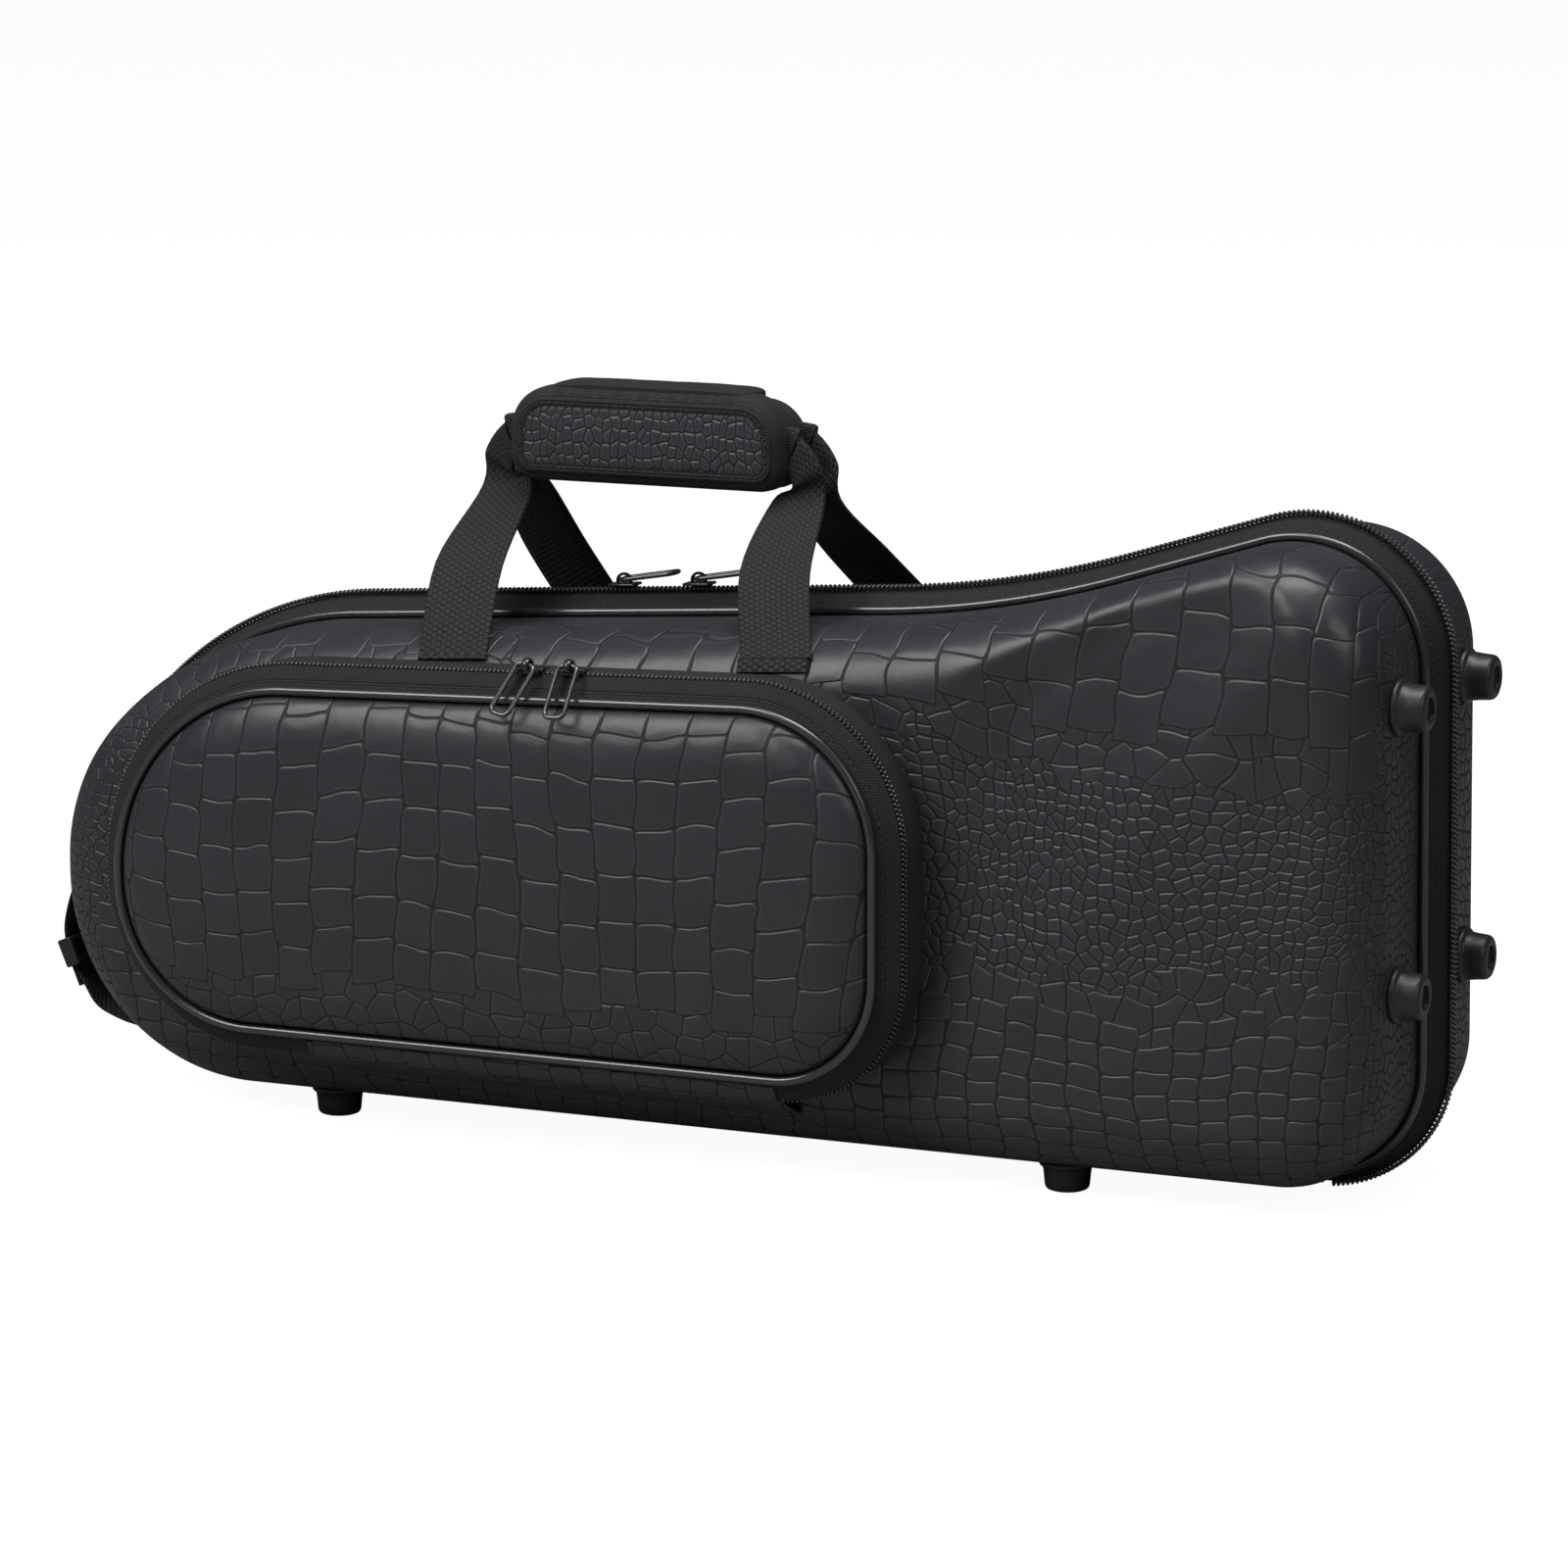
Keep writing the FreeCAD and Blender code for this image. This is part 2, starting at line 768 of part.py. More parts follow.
def end_buckle():
    """Return the buckle on the loop: two rails, a bar behind the webbing at each end, and one before it."""
    half_strap = end_strap_thickness / 2 + fit_gap
    depth = half_strap + buckle_bar
    half_width = buckle_strap_width / 2 + fit_gap
    half_height = buckle_height / 2
    rail = box((-depth, half_width, -half_height), (depth, half_width + buckle_rail, half_height))
    pieces = [mirrored(rail)]
    for low in (-half_height, half_height - buckle_bar_height):
        pieces.append(box((half_strap, -half_width, low), (depth, half_width, low + buckle_bar_height)))
    half_bar = buckle_bar_height / 2
    pieces.append(box((-depth, -half_width, -half_bar), (-half_strap, half_width, half_bar)))
    buckle = rail.fuse(pieces).removeSplitter()
    seat = tail_point(end_seat + buckle_stand, buckle_angle, buckle_strap_width)
    buckle.Placement = FreeCAD.Placement(seat, Rotation(Vector(0, 1, 0), 180 - buckle_angle))
    return buckle


# Pocket
def pocket_outline():
    """Return the pocket's outline at its piping."""
    low_left, low_right, top_right, top_left = pocket_rounds
    corners = (
        (pocket_right, pocket_low, low_right),
        (pocket_right, pocket_top_right, top_right),
        (pocket_left, pocket_top_left, top_left),
        (pocket_left, pocket_low, low_left),
    )
    return Outline(corners)


pocket = pocket_outline()


def pocket_ridge(x):
    """Return the height of the pocket's zipper ridge on its straight top run."""
    share = (x - pocket_left) / (pocket_right - pocket_left)
    return pocket_top_left + (pocket_top_right - pocket_top_left) * share + pocket_ridge_height


def pocket_gusset():
    """Return the fabric wall that joins the pocket to the shell."""
    section = (
        (-pocket_ridge_height, pocket_root),
        (-pocket_ridge_height, pocket_parting - parting_gap),
        (pocket_wall - pocket_ridge_height, pocket_parting - parting_gap),
        (pocket_wall - pocket_ridge_height, pocket_root),
    )
    return belt(pocket, section).cut(shell_outside())


def pocket_teeth(near, far):
    """Return a row of coil on the pocket's ridge, round the two ends and the top."""
    section = (
        (-pocket_ridge_height, near),
        (-pocket_ridge_height - pocket_teeth_height, near),
        (-pocket_ridge_height - pocket_teeth_height, far),
        (-pocket_ridge_height, far),
    )
    return belt(pocket, section, open_chords=0)


def pocket_band():
    """Return the sloping fabric band between the pocket's zipper and its piping."""
    near = pocket_parting + parting_gap
    section = (
        (-pocket_ridge_height, near),
        (-pocket_ridge_height, near + pocket_teeth_width + fit_gap),
        (-piping_radius, pocket_edge),
        (face_inset + pocket_wall, pocket_edge),
        (pocket_wall - pocket_ridge_height, near),
    )
    return belt(pocket, section)


def crown_form(depth_in):
    """Return the pocket face's crowned form, taken in by depth_in."""
    base = pocket_edge
    rise = pocket_crown - depth_in - base
    levels = []
    for inset_share, rise_share in crown_share:
        levels.append((face_inset + depth_in + crown_reach * inset_share, base + rise * rise_share))
    return stack(pocket, levels)


def pocket_face():
    """Return the pocket's face as its flat middle and the runs and turns of its rim."""
    hollow = crown_form(0).cut(crown_form(pocket_wall))
    level = pocket_crown - pocket_wall
    low_left, _, top_right, top_left = pocket_rounds
    turn_z = pocket_low + low_left
    turn_columns = [pocket_left + top_left * share for share in rim_turn_shares]
    columns = [-half_length] + turn_columns + [pocket_right - top_right, half_length]
    cells = [box((-half_length, level, 0), (half_length, half_length, half_length))]
    for left, right in zip(columns, columns[1:]):
        for low, high in ((0, turn_z), (turn_z, half_length)):
            cells.append(box((left, 0, low), (right, level, high)))
    return [solid for cell in cells for solid in hollow.common(cell).Solids]


def hinge_flap_leaf(upper):
    """Return one leaf of the leather hinge flap along the pocket's bottom, above or below the hinge line."""
    ridge = pocket_low - pocket_ridge_height - fit_gap
    outer = ridge - hinge_flap_thickness
    if upper:
        near = pocket_parting + parting_gap
        knee = near + pocket_teeth_width + fit_gap
        far_y = pocket_edge - fit_gap
        steepness = (pocket_ridge_height - piping_radius) / (pocket_edge - knee)
        far_z = pocket_low - piping_radius - fit_gap * steepness - fit_gap
        section = (
            (near, outer),
            (knee, outer),
            (far_y, far_z - hinge_flap_thickness),
            (far_y, far_z),
            (knee, ridge),
            (near, ridge),
        )
    else:
        near = pocket_parting - parting_gap
        angle = math.radians(hinge_flap_root_angle)
        reach = edge_round + fit_gap
        root_y = half_depth - edge_round + reach * math.cos(angle)
        root_z = ridge_floor_gap + shell_inset + edge_round - reach * math.sin(angle)
        section = ((near, outer), (root_y, root_z - hinge_flap_thickness), (root_y, root_z), (near, ridge))
    points = [Vector(hinge_flap_left, y, z) for y, z in section]
    face = Part.Face(Part.makePolygon(points + points[:1]))
    return face.extrude(Vector(hinge_flap_right - hinge_flap_left, 0, 0))


# Zipper sliders and pulls
def slider(teeth_top, flange_low, bail_across):
    """Return a slider at the origin: X along the zipper, Z outwards, its own tape on the plus Y side."""
    under = teeth_top + slider_clearance
    top = under + slider_plate
    plate = box(
        (-slider_half_length, -slider_half_width, under),
        (slider_half_length, slider_half_width, top),
    )
    upright = [edge for edge in plate.Edges if abs(edge.tangentAt(edge.FirstParameter).z) > 1 / 2]
    plate = plate.makeChamfer(slider_corner, upright)
    flange = box(
        (-slider_half_length + slider_corner, slider_half_width - slider_flange, flange_low),
        (slider_half_length - slider_corner, slider_half_width, under),
    )
    inner_top = top + bail_gap
    arch = box(
        (-bail_half_length, -bail_half_width, top),
        (bail_half_length, bail_half_width, inner_top + bail_cap),
    )
    window = box(
        (-bail_half_length + bail_post, -bail_half_width, top),
        (bail_half_length - bail_post, bail_half_width, inner_top),
    )
    bail = arch.cut(window)
    if bail_across:
        bail.rotate(Vector(0, 0, 0), Vector(0, 0, 1), 90)
        bail.translate(Vector(0, pocket_bail_shift, 0))
    return plate.fuse([flange, bail]).removeSplitter()


def pull_height(teeth_top):
    """Return the height of a pull's pivot above the ridge."""
    return teeth_top + slider_clearance + slider_plate + bail_gap / 2


def wire_pull():
    """Return a wire loop lying along X from its pivot at the origin, flat in the XY plane."""
    half = pull_width / 2
    loop = rectangle(0, pull_length, -half, half, pull_round)
    wire = belt(loop, bead(0, 0, pull_wire_radius))
    wire.rotate(Vector(0, 0, 0), Vector(1, 0, 0), 90)
    return wire


def main_frame(x):
    """Return the place and the tilt of a slider on the main zipper's top run."""
    tilt = Rotation(Vector(0, 1, 0), -back_slope_angle)
    return FreeCAD.Placement(Vector(x, 0, slope(x)), tilt)


def pocket_frame(x):
    """Return the place and the tilt of a slider on the pocket's top run."""
    rise = (pocket_top_right - pocket_top_left) / (pocket_right - pocket_left)
    tilt = Rotation(Vector(0, 1, 0), -math.degrees(math.atan(rise)))
    return FreeCAD.Placement(Vector(x, -pocket_parting, pocket_ridge(x)), tilt)


main_teeth_top = teeth_height - tape_depth

# Pieces that both halves have, made for the back and mirrored for the lid
halves = {
    "shell": half_shell,
    "piping": piping,
    "edge_band": edge_band,
    "zip_tape": zip_tape,
    "zip_teeth": zip_teeth,
    "hinge_tape": hinge_leaf,
    "bottom_feet": bottom_feet,
    "end_feet": end_feet,
    "handle_strap": handle_strap,
}
for name, make in halves.items():
    piece = make()
    save(piece, "back_" + name)
    save([mirrored(one) for one in piece] if isinstance(piece, list) else mirrored(piece), "front_" + name)

seats = (body_seat, valve_seat, leadpipe_seat, mouthpiece_seat)
save(bed(seats), "instrument_bed")
save([mirrored(block) for block in bed(seats[:-1])], "lid_padding")

save(grip_pad(grip_rear_top, grip_rear_depth), "rear_grip_pad")
save(mirrored(grip_pad(grip_front_top, grip_front_depth)), "front_grip_pad")
save(mirrored(grip_binding()), "grip_binding")
save(mirrored(grip_panel()), "grip_panel")
flap_low = grip_front_top + fit_gap
save(flap_sheet(flap_low, flap_low + flap_thickness, 0), "grip_flap")
save(patch(grip_rear_top, grip_rear_top + patch_thickness), "grip_loop_patch")
save(patch(grip_rear_top + patch_thickness + fit_gap, flap_low), "grip_hook_patch")

save(end_backing(), "end_strap_backing")
save(end_loop(), "end_strap")
save(end_tab(), "end_strap_tab")
save(end_buckle(), "end_strap_buckle")

save(mirrored(pocket_gusset()), "pocket_gusset")
wall_teeth_near = pocket_parting - parting_gap
save(mirrored(pocket_teeth(wall_teeth_near - pocket_teeth_width, wall_teeth_near)), "pocket_wall_teeth")
face_teeth_near = pocket_parting + parting_gap
save(mirrored(pocket_teeth(face_teeth_near, face_teeth_near + pocket_teeth_width)), "pocket_face_teeth")
save(mirrored(pocket_band()), "pocket_face_band")
save(mirrored(belt(pocket, bead(0, pocket_edge + piping_radius, piping_radius))), "pocket_piping")
save([mirrored(stretch) for stretch in pocket_face()], "pocket_face")
save(mirrored(hinge_flap_leaf(False)), "pocket_hinge_lower")
save(mirrored(hinge_flap_leaf(True)), "pocket_hinge_upper")

for side, x in zip(("left", "right"), main_slider_x):
    body = slider(main_teeth_top, -slider_flange_drop, False)
    pull = wire_pull()
    pull.rotate(Vector(0, 0, 0), Vector(0, 1, 0), -main_pull_lift)
    pull.translate(Vector(0, 0, pull_height(main_teeth_top)))
    body.Placement = main_frame(x)
    pull.Placement = main_frame(x).multiply(pull.Placement)
    save(body, "main_slider_" + side)
    save(pull, "main_pull_" + side)

for side, x, slant in zip(("left", "right"), pocket_slider_x, pocket_pull_slants):
    body = slider(pocket_teeth_height, fit_gap, True)
    body.rotate(Vector(0, 0, 0), Vector(0, 0, 1), 180)
    pull = wire_pull()
    pull.rotate(Vector(0, 0, 0), Vector(0, 0, 1), -90 - slant)
    pull.rotate(Vector(0, 0, 0), Vector(1, 0, 0), pocket_pull_drop)
    pull.translate(Vector(0, -pocket_pivot_out, pull_height(pocket_teeth_height)))
    body.Placement = pocket_frame(x).multiply(body.Placement)
    pull.Placement = pocket_frame(x).multiply(pull.Placement)
    save(body, "pocket_slider_" + side)
    save(pull, "pocket_pull_" + side)

write_nodes()
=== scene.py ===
"""Studio picture of a contoured soft case for a trumpet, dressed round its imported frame.

Shapes are worked out in the case's own millimetres: X along the case towards the bell end, Y from the plane
where the halves meet towards the back half, and Z up from the floor.
"""

from __future__ import annotations

import json
import logging
import math
import sys
from collections.abc import Callable, Iterable, Sequence
from dataclasses import dataclass, field
from enum import Enum

import bmesh
import bpy
from mathutils import Matrix, Vector, noise

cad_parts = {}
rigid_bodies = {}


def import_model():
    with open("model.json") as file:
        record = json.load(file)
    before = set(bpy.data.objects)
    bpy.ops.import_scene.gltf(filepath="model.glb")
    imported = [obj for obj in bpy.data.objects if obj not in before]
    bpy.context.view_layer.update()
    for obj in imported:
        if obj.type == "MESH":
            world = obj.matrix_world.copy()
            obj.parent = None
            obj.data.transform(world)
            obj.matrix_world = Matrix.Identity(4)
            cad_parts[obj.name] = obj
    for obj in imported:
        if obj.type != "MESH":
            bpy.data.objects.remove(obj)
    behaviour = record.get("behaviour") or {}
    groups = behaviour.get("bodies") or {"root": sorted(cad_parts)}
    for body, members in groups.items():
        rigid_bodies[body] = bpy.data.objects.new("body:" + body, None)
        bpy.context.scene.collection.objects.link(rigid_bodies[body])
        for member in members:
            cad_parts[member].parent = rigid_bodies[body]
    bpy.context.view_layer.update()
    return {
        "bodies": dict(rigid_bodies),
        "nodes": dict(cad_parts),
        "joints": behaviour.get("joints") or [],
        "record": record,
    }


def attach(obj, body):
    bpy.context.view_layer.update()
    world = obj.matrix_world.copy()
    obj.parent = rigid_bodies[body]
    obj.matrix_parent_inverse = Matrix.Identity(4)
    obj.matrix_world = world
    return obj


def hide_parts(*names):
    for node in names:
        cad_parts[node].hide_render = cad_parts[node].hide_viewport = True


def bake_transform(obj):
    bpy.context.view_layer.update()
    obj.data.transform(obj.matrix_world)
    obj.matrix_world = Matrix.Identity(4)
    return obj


LOG = logging.getLogger("trumpet_case")
MM = 0.001
ROW_ORIGIN = Vector((0.25, -19.644, 0.0))
FLOW = "flow"

SHELL_FACE, SHELL_INSET, SHELL_EDGE = 72.0, 9.0, 26.0
CASE_LOW = 2.5
SLOPE = math.radians(3.87)
SLOPE_TOP = (112.8, 229.3)
TAIL_CENTRE, TAIL_RADIUS = (-202.0, 95.5), 93.0
POCKET_TOP_LEFT, POCKET_TOP_RIGHT = (-236.0, 182.0), (94.0, 192.5)
POCKET_RISE = (POCKET_TOP_RIGHT[1] - POCKET_TOP_LEFT[1]) / (POCKET_TOP_RIGHT[0] - POCKET_TOP_LEFT[0])
POCKET_RIDGE, POCKET_PARTING = 9.0, 90.0
CORD_RADIUS = 1.75
TOOTH_PITCH, TOOTH_START, TOOTH_SLANT = 1.95, 0.6, 10.0
GRIP_LEFT, GRIP_RIGHT, GRIP_LOW = -101.0, 19.0, 262.0
BAIL_TOP, POCKET_BAIL_OUT = 3.2, 5.15
MAIN_PULL_SWING, POCKET_PULL_LIFT = -6.0, 50.0
EDGE_POWERS = (0.3, 0.6)
MAIN_SLIDERS = (("left", -57.0), ("right", -24.0))
POCKET_SLIDERS = (("left", -54.0, 15.0), ("right", -36.0, 0.0))

Row = list[Vector]
Number = float | int


class Side(Enum):
    """The two halves of the case, by the sign of their Y."""

    BACK = 1
    FRONT = -1

    @property
    def label(self) -> str:
        """Return the half's name."""
        return "back" if self is Side.BACK else "front"

    @property
    def body(self) -> str:
        """Return the body that the half rides on."""
        return "back" if self is Side.BACK else "lid"


class Signal:
    """A value inside a finish: an output socket that Python arithmetic adds Math nodes to."""

    def __init__(self, recipe: Recipe, socket: bpy.types.NodeSocket) -> None:
        """Wrap one output socket."""
        self.recipe = recipe
        self.socket = socket

    def _math(self, operation: str, *values: Signal | Number) -> Signal:
        """Add one Math node.

        Args:
            operation: The Math node's operation.
            values: Its inputs, in order.

        Returns:
            The node's result.
        """
        return self.recipe.node("ShaderNodeMath", {"operation": operation}, dict(enumerate(values)))

    def __add__(self, other: Signal | Number) -> Signal:
        """Return the sum."""
        return self._math("ADD", self, other)

    __radd__ = __add__

    def __sub__(self, other: Signal | Number) -> Signal:
        """Return the difference."""
        return self._math("SUBTRACT", self, other)

    def __rsub__(self, other: Number) -> Signal:
        """Return the difference from a plain number."""
        return self._math("SUBTRACT", other, self)

    def __mul__(self, other: Signal | Number) -> Signal:
        """Return the product."""
        return self._math("MULTIPLY", self, other)

    __rmul__ = __mul__

    def __truediv__(self, other: Signal | Number) -> Signal:
        """Return the quotient."""
        return self._math("DIVIDE", self, other)

    def __abs__(self) -> Signal:
        """Return the size without its sign."""
        return self._math("ABSOLUTE", self)

    def whole(self) -> Signal:
        """Return the whole number below."""
        return self._math("FLOOR", self)

    def part(self) -> Signal:
        """Return what is left above the whole number below."""
        return self._math("FRACT", self)

    def above(self, limit: Signal | Number) -> Signal:
        """Return 1 where the value is above the limit, and 0 elsewhere."""
        return self._math("GREATER_THAN", self, limit)

    def least(self, other: Signal | Number, rounding: float) -> Signal:
        """Return the smaller of two values, rounded where they meet."""
        return self._math("SMOOTH_MIN", self, other, rounding)

    def most(self, other: Signal | Number) -> Signal:
        """Return the larger of two values."""
        return self._math("MAXIMUM", self, other)

    def hump(self) -> Signal:
        """Return a hump, 1 in the middle and 0 at both ends of a value that runs from 0 to 1."""
        return self * (1 - self) * 4

    def ramp(self, low: float, high: float) -> Signal:
        """Return a soft step from 0 at low to 1 at high."""
        sockets = {"Value": self, "From Min": low, "From Max": high}
        return self.recipe.node("ShaderNodeMapRange", {"interpolation_type": "SMOOTHSTEP"}, sockets)

    def blend(self, first: Signal, second: Signal) -> Signal:
        """Return first where this value is 0 and second where it is 1."""
        return self * (second - first) + first


class Recipe:
    """The node tree of one finish, which ends in a Principled shader."""

    def __init__(self, name: str) -> None:
        """Start an empty material.

        Args:
            name: The material's name.
        """
        self.material = bpy.data.materials.new(name)
        self.material.use_nodes = True
        self.tree = self.material.node_tree
        self.tree.nodes.clear()

    def node(
        self,
        kind: str,
        settings: dict[str, object] | None = None,
        sockets: dict[str | int, object] | None = None,
        output: str | int = 0,
    ) -> Signal:
        """Add a node.

        Args:
            kind: The node's type.
            settings: What is set on the node itself.
            sockets: Values or links of its inputs, by name or number.
            output: The output that is wanted.

        Returns:
            That output.
        """
        node = self.tree.nodes.new(kind)
        for key, value in (settings or {}).items():
            setattr(node, key, value)
        for key, value in (sockets or {}).items():
            if isinstance(value, Signal):
                self.tree.links.new(value.socket, node.inputs[key])
            else:
                node.inputs[key].default_value = value
        return Signal(self, node.outputs[output])

    def place(self) -> Signal:
        """Find where a point is.

        Returns:
            Its place in the case's millimetres.
        """
        where = self.node("ShaderNodeTexCoord", output="Object")
        scale = (1 / MM, 1 / MM, 1 / MM)
        sockets = {"Vector": where, "Location": ROW_ORIGIN, "Scale": scale}
        return self.node("ShaderNodeMapping", sockets=sockets)

    def flow(self) -> tuple[Signal, Signal]:
        """Read a strip's own map.

        Returns:
            The millimetres along and across the strip.
        """
        where = self.node("ShaderNodeUVMap", {"uv_map": FLOW})
        along, across, _ = self.split(where)
        return along / MM, across / MM

    def split(self, vector: Signal) -> tuple[Signal, Signal, Signal]:
        """Take a vector apart.

        Args:
            vector: The vector.

        Returns:
            Its three parts.
        """
        first = self.node("ShaderNodeSeparateXYZ", sockets={0: vector})
        outputs = first.socket.node.outputs
        return first, Signal(self, outputs[1]), Signal(self, outputs[2])

    def join(self, x: Signal | Number, y: Signal | Number, z: Signal | Number) -> Signal:
        """Return a vector of three parts."""
        return self.node("ShaderNodeCombineXYZ", sockets={0: x, 1: y, 2: z})

    def grain(self, where: Signal, size: float, detail: float = 2.0) -> Signal:
        """Return soft noise from 0 to 1 with features of a size in millimetres."""
        return self.node("ShaderNodeTexNoise", sockets={"Vector": where, "Scale": 1 / size, "Detail": detail})

    def chance(self, *parts: Signal | Number) -> Signal:
        """Return an even random number from 0 to 1 for each set of whole parts."""
        return self.node("ShaderNodeTexWhiteNoise", sockets={"Vector": self.join(*parts)})

    def shade(self, colour: Sequence[float], level: Signal) -> Signal:
        """Return a colour made darker or lighter by a level round 1."""
        sockets = {0: tuple(colour[:3]), "Scale": level}
        return self.node("ShaderNodeVectorMath", {"operation": "SCALE"}, sockets)

    def bump(self, height: Signal, depth: float) -> Signal:
        """Return a normal for a height from 0 to 1, depth millimetres deep."""
        sockets = {"Strength": 1.0, "Distance": depth * MM, "Height": height}
        return self.node("ShaderNodeBump", {}, sockets)

    def finish(self, sockets: dict[str, object]) -> bpy.types.Material:
        """Close the tree with a Principled shader.

        Args:
            sockets: Values or links of the shader's inputs.

        Returns:
            The material.
        """
        shader = self.node("ShaderNodeBsdfPrincipled", sockets=sockets)
        self.tree.links.new(shader.socket, self.tree.nodes.new("ShaderNodeOutputMaterial").inputs["Surface"])
        return self.material


@dataclass(frozen=True)
class Scales:
    """One size of embossed scale: rows of cells in upright columns, each column set off from the next."""

    width: float
    height: float
    stagger: float = 0.618
    rounding: float = 3.0

    def edge(self, recipe: Recipe, x: Signal, z: Signal) -> tuple[Signal, Signal, Signal]:
        """Lay the cells.

        Args:
            recipe: The finish that they are laid in.
            x: Millimetres across.
            z: Millimetres up.

        Returns:
            The distance to the nearest groove in millimetres, a random tone per cell, and the cell's height.
        """
        across = x / self.width
        column = across.whole()
        offset = recipe.chance(column, 3.0, 0.0) * self.stagger
        upward = z / self.height + offset
        row = upward.whole()
        sideways = (0.5 - abs(across.part() - 0.5)) * self.width
        endways = (0.5 - abs(upward.part() - 0.5)) * self.height
        middle = (row + 0.5 - offset) * self.height
        return sideways.least(endways, self.rounding), recipe.chance(column, row, 1.0), middle


@dataclass(frozen=True)
class Leather:
    """Embossed synthetic leather: square scales, which turn through round ones into small pebbles."""

    name: str
    colour: Sequence[float]
    large: Scales = Scales(18.0, 20.0)
    medium: Scales = Scales(13.0, 11.0)
    stone: float = 10.5
    pebble: float = 5.4
    large_above: float = 200.0
    stone_above: float = 176.0
    stone_below: float = 98.0
    medium_below: float = 80.0
    bell_drop: float = 26.0
    bell_from: float = 255.0
    face: float = 72.0
    ends: tuple[float, float] = (-262.0, 281.0)
    stretch: float = 1.0
    warp: float = 7.0
    warp_size: float = 95.0
    jitter: float = 2.2
    jitter_size: float = 14.0
    randomness: float = 0.72
    edge_run: float = 16.0
    turn_heights: tuple[float, float] = (100.0, 140.0)
    leans: tuple[float, float] = (0.22, 0.4)
    bell_run: float = 24.0
    tone_spread: float = 8.0
    patch_size: float = 40.0
    patch_spread: float = 36.0
    pebble_shift: float = 500.0
    groove: float = 0.5
    depth: float = 0.5
    roughness: float = 0.3
    # strength of the painted highlight along the scales' edges
    worn: float = 0.4

    def stones(self, recipe: Recipe, u: Signal, v: Signal, size: float) -> tuple[Signal, Signal, Signal]:
        """Lay round scales.

        Args:
            recipe: The finish that they are laid in.
            u: Millimetres across.
            v: Millimetres up.
            size: Their size in millimetres.

        Returns:
            The distance to the nearest groove in millimetres, a random tone per scale, and the
            scale's height.
        """
        where = recipe.join(u, v * self.stretch, 0.0)
        sockets = {"Vector": where, "Scale": 1 / size, "Randomness": self.randomness}
        kind = "ShaderNodeTexVoronoi"
        edge = recipe.node(kind, {"feature": "DISTANCE_TO_EDGE", "voronoi_dimensions": "2D"}, sockets) * size
        colour = recipe.node(kind, {"feature": "F1", "voronoi_dimensions": "2D"}, sockets, "Color")
        centre = Signal(recipe, colour.socket.node.outputs["Position"])
        return edge, recipe.split(colour)[0], recipe.split(centre)[1] / self.stretch

    def unrolled(self, recipe: Recipe, where: Signal) -> tuple[Signal, Signal]:
        """Lay the leather flat, its rounded edges too.

        Args:
            recipe: The finish that it is laid in.
            where: The place on the case.

        Returns:
            The millimetres across and up.
        """
        x, y, z = recipe.split(where)
        depth = self.face - abs(y)
        left, right = self.ends
        turn = x.ramp(right - self.edge_run, right) + x.ramp(left, left + self.edge_run) - 1
        upper = z.ramp(*self.turn_heights) * 2 - 1
        sideways, upward = self.leans
        u = x + depth * turn - depth * upper * sideways
        v = z + depth * upper * (1 - abs(turn)) * upward
        for size, reach in ((self.warp_size, 4 * self.warp), (self.jitter_size, 2 * self.jitter)):
            sockets = {"Vector": where, "Scale": 1 / size, "Detail": 0.0}
            sway = recipe.split(recipe.node("ShaderNodeTexNoise", sockets=sockets, output="Color"))
            u = u + (sway[0] - 0.5) * reach
            v = v + (sway[2] - 0.5) * reach
        return u, v

    def material(self) -> bpy.types.Material:
        """Emboss the leather.

        Returns:
            Its material.
        """
        recipe = Recipe(self.name)
        where = recipe.place()
        x = recipe.split(where)[0]
        u, v = self.unrolled(recipe, where)
        large_edge, large_tone, large_middle = self.large.edge(recipe, u, v)
        medium_edge, medium_tone, medium_middle = self.medium.edge(recipe, u, v)
        stone_edge, stone_tone, stone_middle = self.stones(recipe, u, v, self.stone)
        edge, tone, _ = self.stones(recipe, u + self.pebble_shift, v, self.pebble)
        inner = x.above(self.ends[0]) * (1 - x.above(self.ends[1]))
        patch = (recipe.grain(where, self.patch_size, 1.0) - 0.5) * self.patch_spread
        drop = x.ramp(self.bell_from, self.bell_from + self.bell_run) * self.bell_drop
        level = stone_middle + (stone_tone - 0.5) * self.tone_spread + patch
        is_stone = level.above(self.stone_above).most(1 - level.above(self.stone_below)) * inner
        level = medium_middle + (medium_tone - 0.5) * self.tone_spread
        is_medium = (1 - level.above(self.medium_below)) * inner
        level = large_middle + drop + (large_tone - 0.5) * self.tone_spread
        is_large = level.above(self.large_above) * inner
        for mask, mask_edge, mask_tone in (
            (is_stone, stone_edge, stone_tone),
            (is_medium, medium_edge, medium_tone),
            (is_large, large_edge, large_tone),
        ):
            edge = mask.blend(edge, mask_edge)
            tone = mask.blend(tone, mask_tone)
        crack = 1 - edge.ramp(self.groove * 0.3, self.groove)
        # the rim is a thin lighter band along each scale's edge, past the groove: a painted highlight where
        # the raised edges catch the lamps
        rim = edge.ramp(self.groove * 0.7, self.groove * 1.3)
        rim = rim * (1 - edge.ramp(self.groove * 1.5, self.groove * 3.0))
        height = edge.ramp(0.0, self.groove * 1.8) * 0.62 + edge.ramp(0.0, 5.0) * 0.38
        fine = recipe.grain(where, 0.9, 3.0)
        cloud = recipe.grain(where, 45.0, 2.0)
        level = (0.82 + tone * 0.16 + cloud * 0.2 + rim * self.worn) * (1 - crack * 0.78)
        rough = self.roughness + cloud * 0.12 + crack * 0.3 + tone * 0.05 + (fine - 0.5) * 0.08
        shape = height + fine * 0.05 + recipe.grain(where, 6.0, 2.0) * 0.14
        return recipe.finish(
            {
                "Base Color": recipe.shade(self.colour, level),
                "Roughness": rough,
                "Normal": recipe.bump(shape, self.depth),
            }
        )


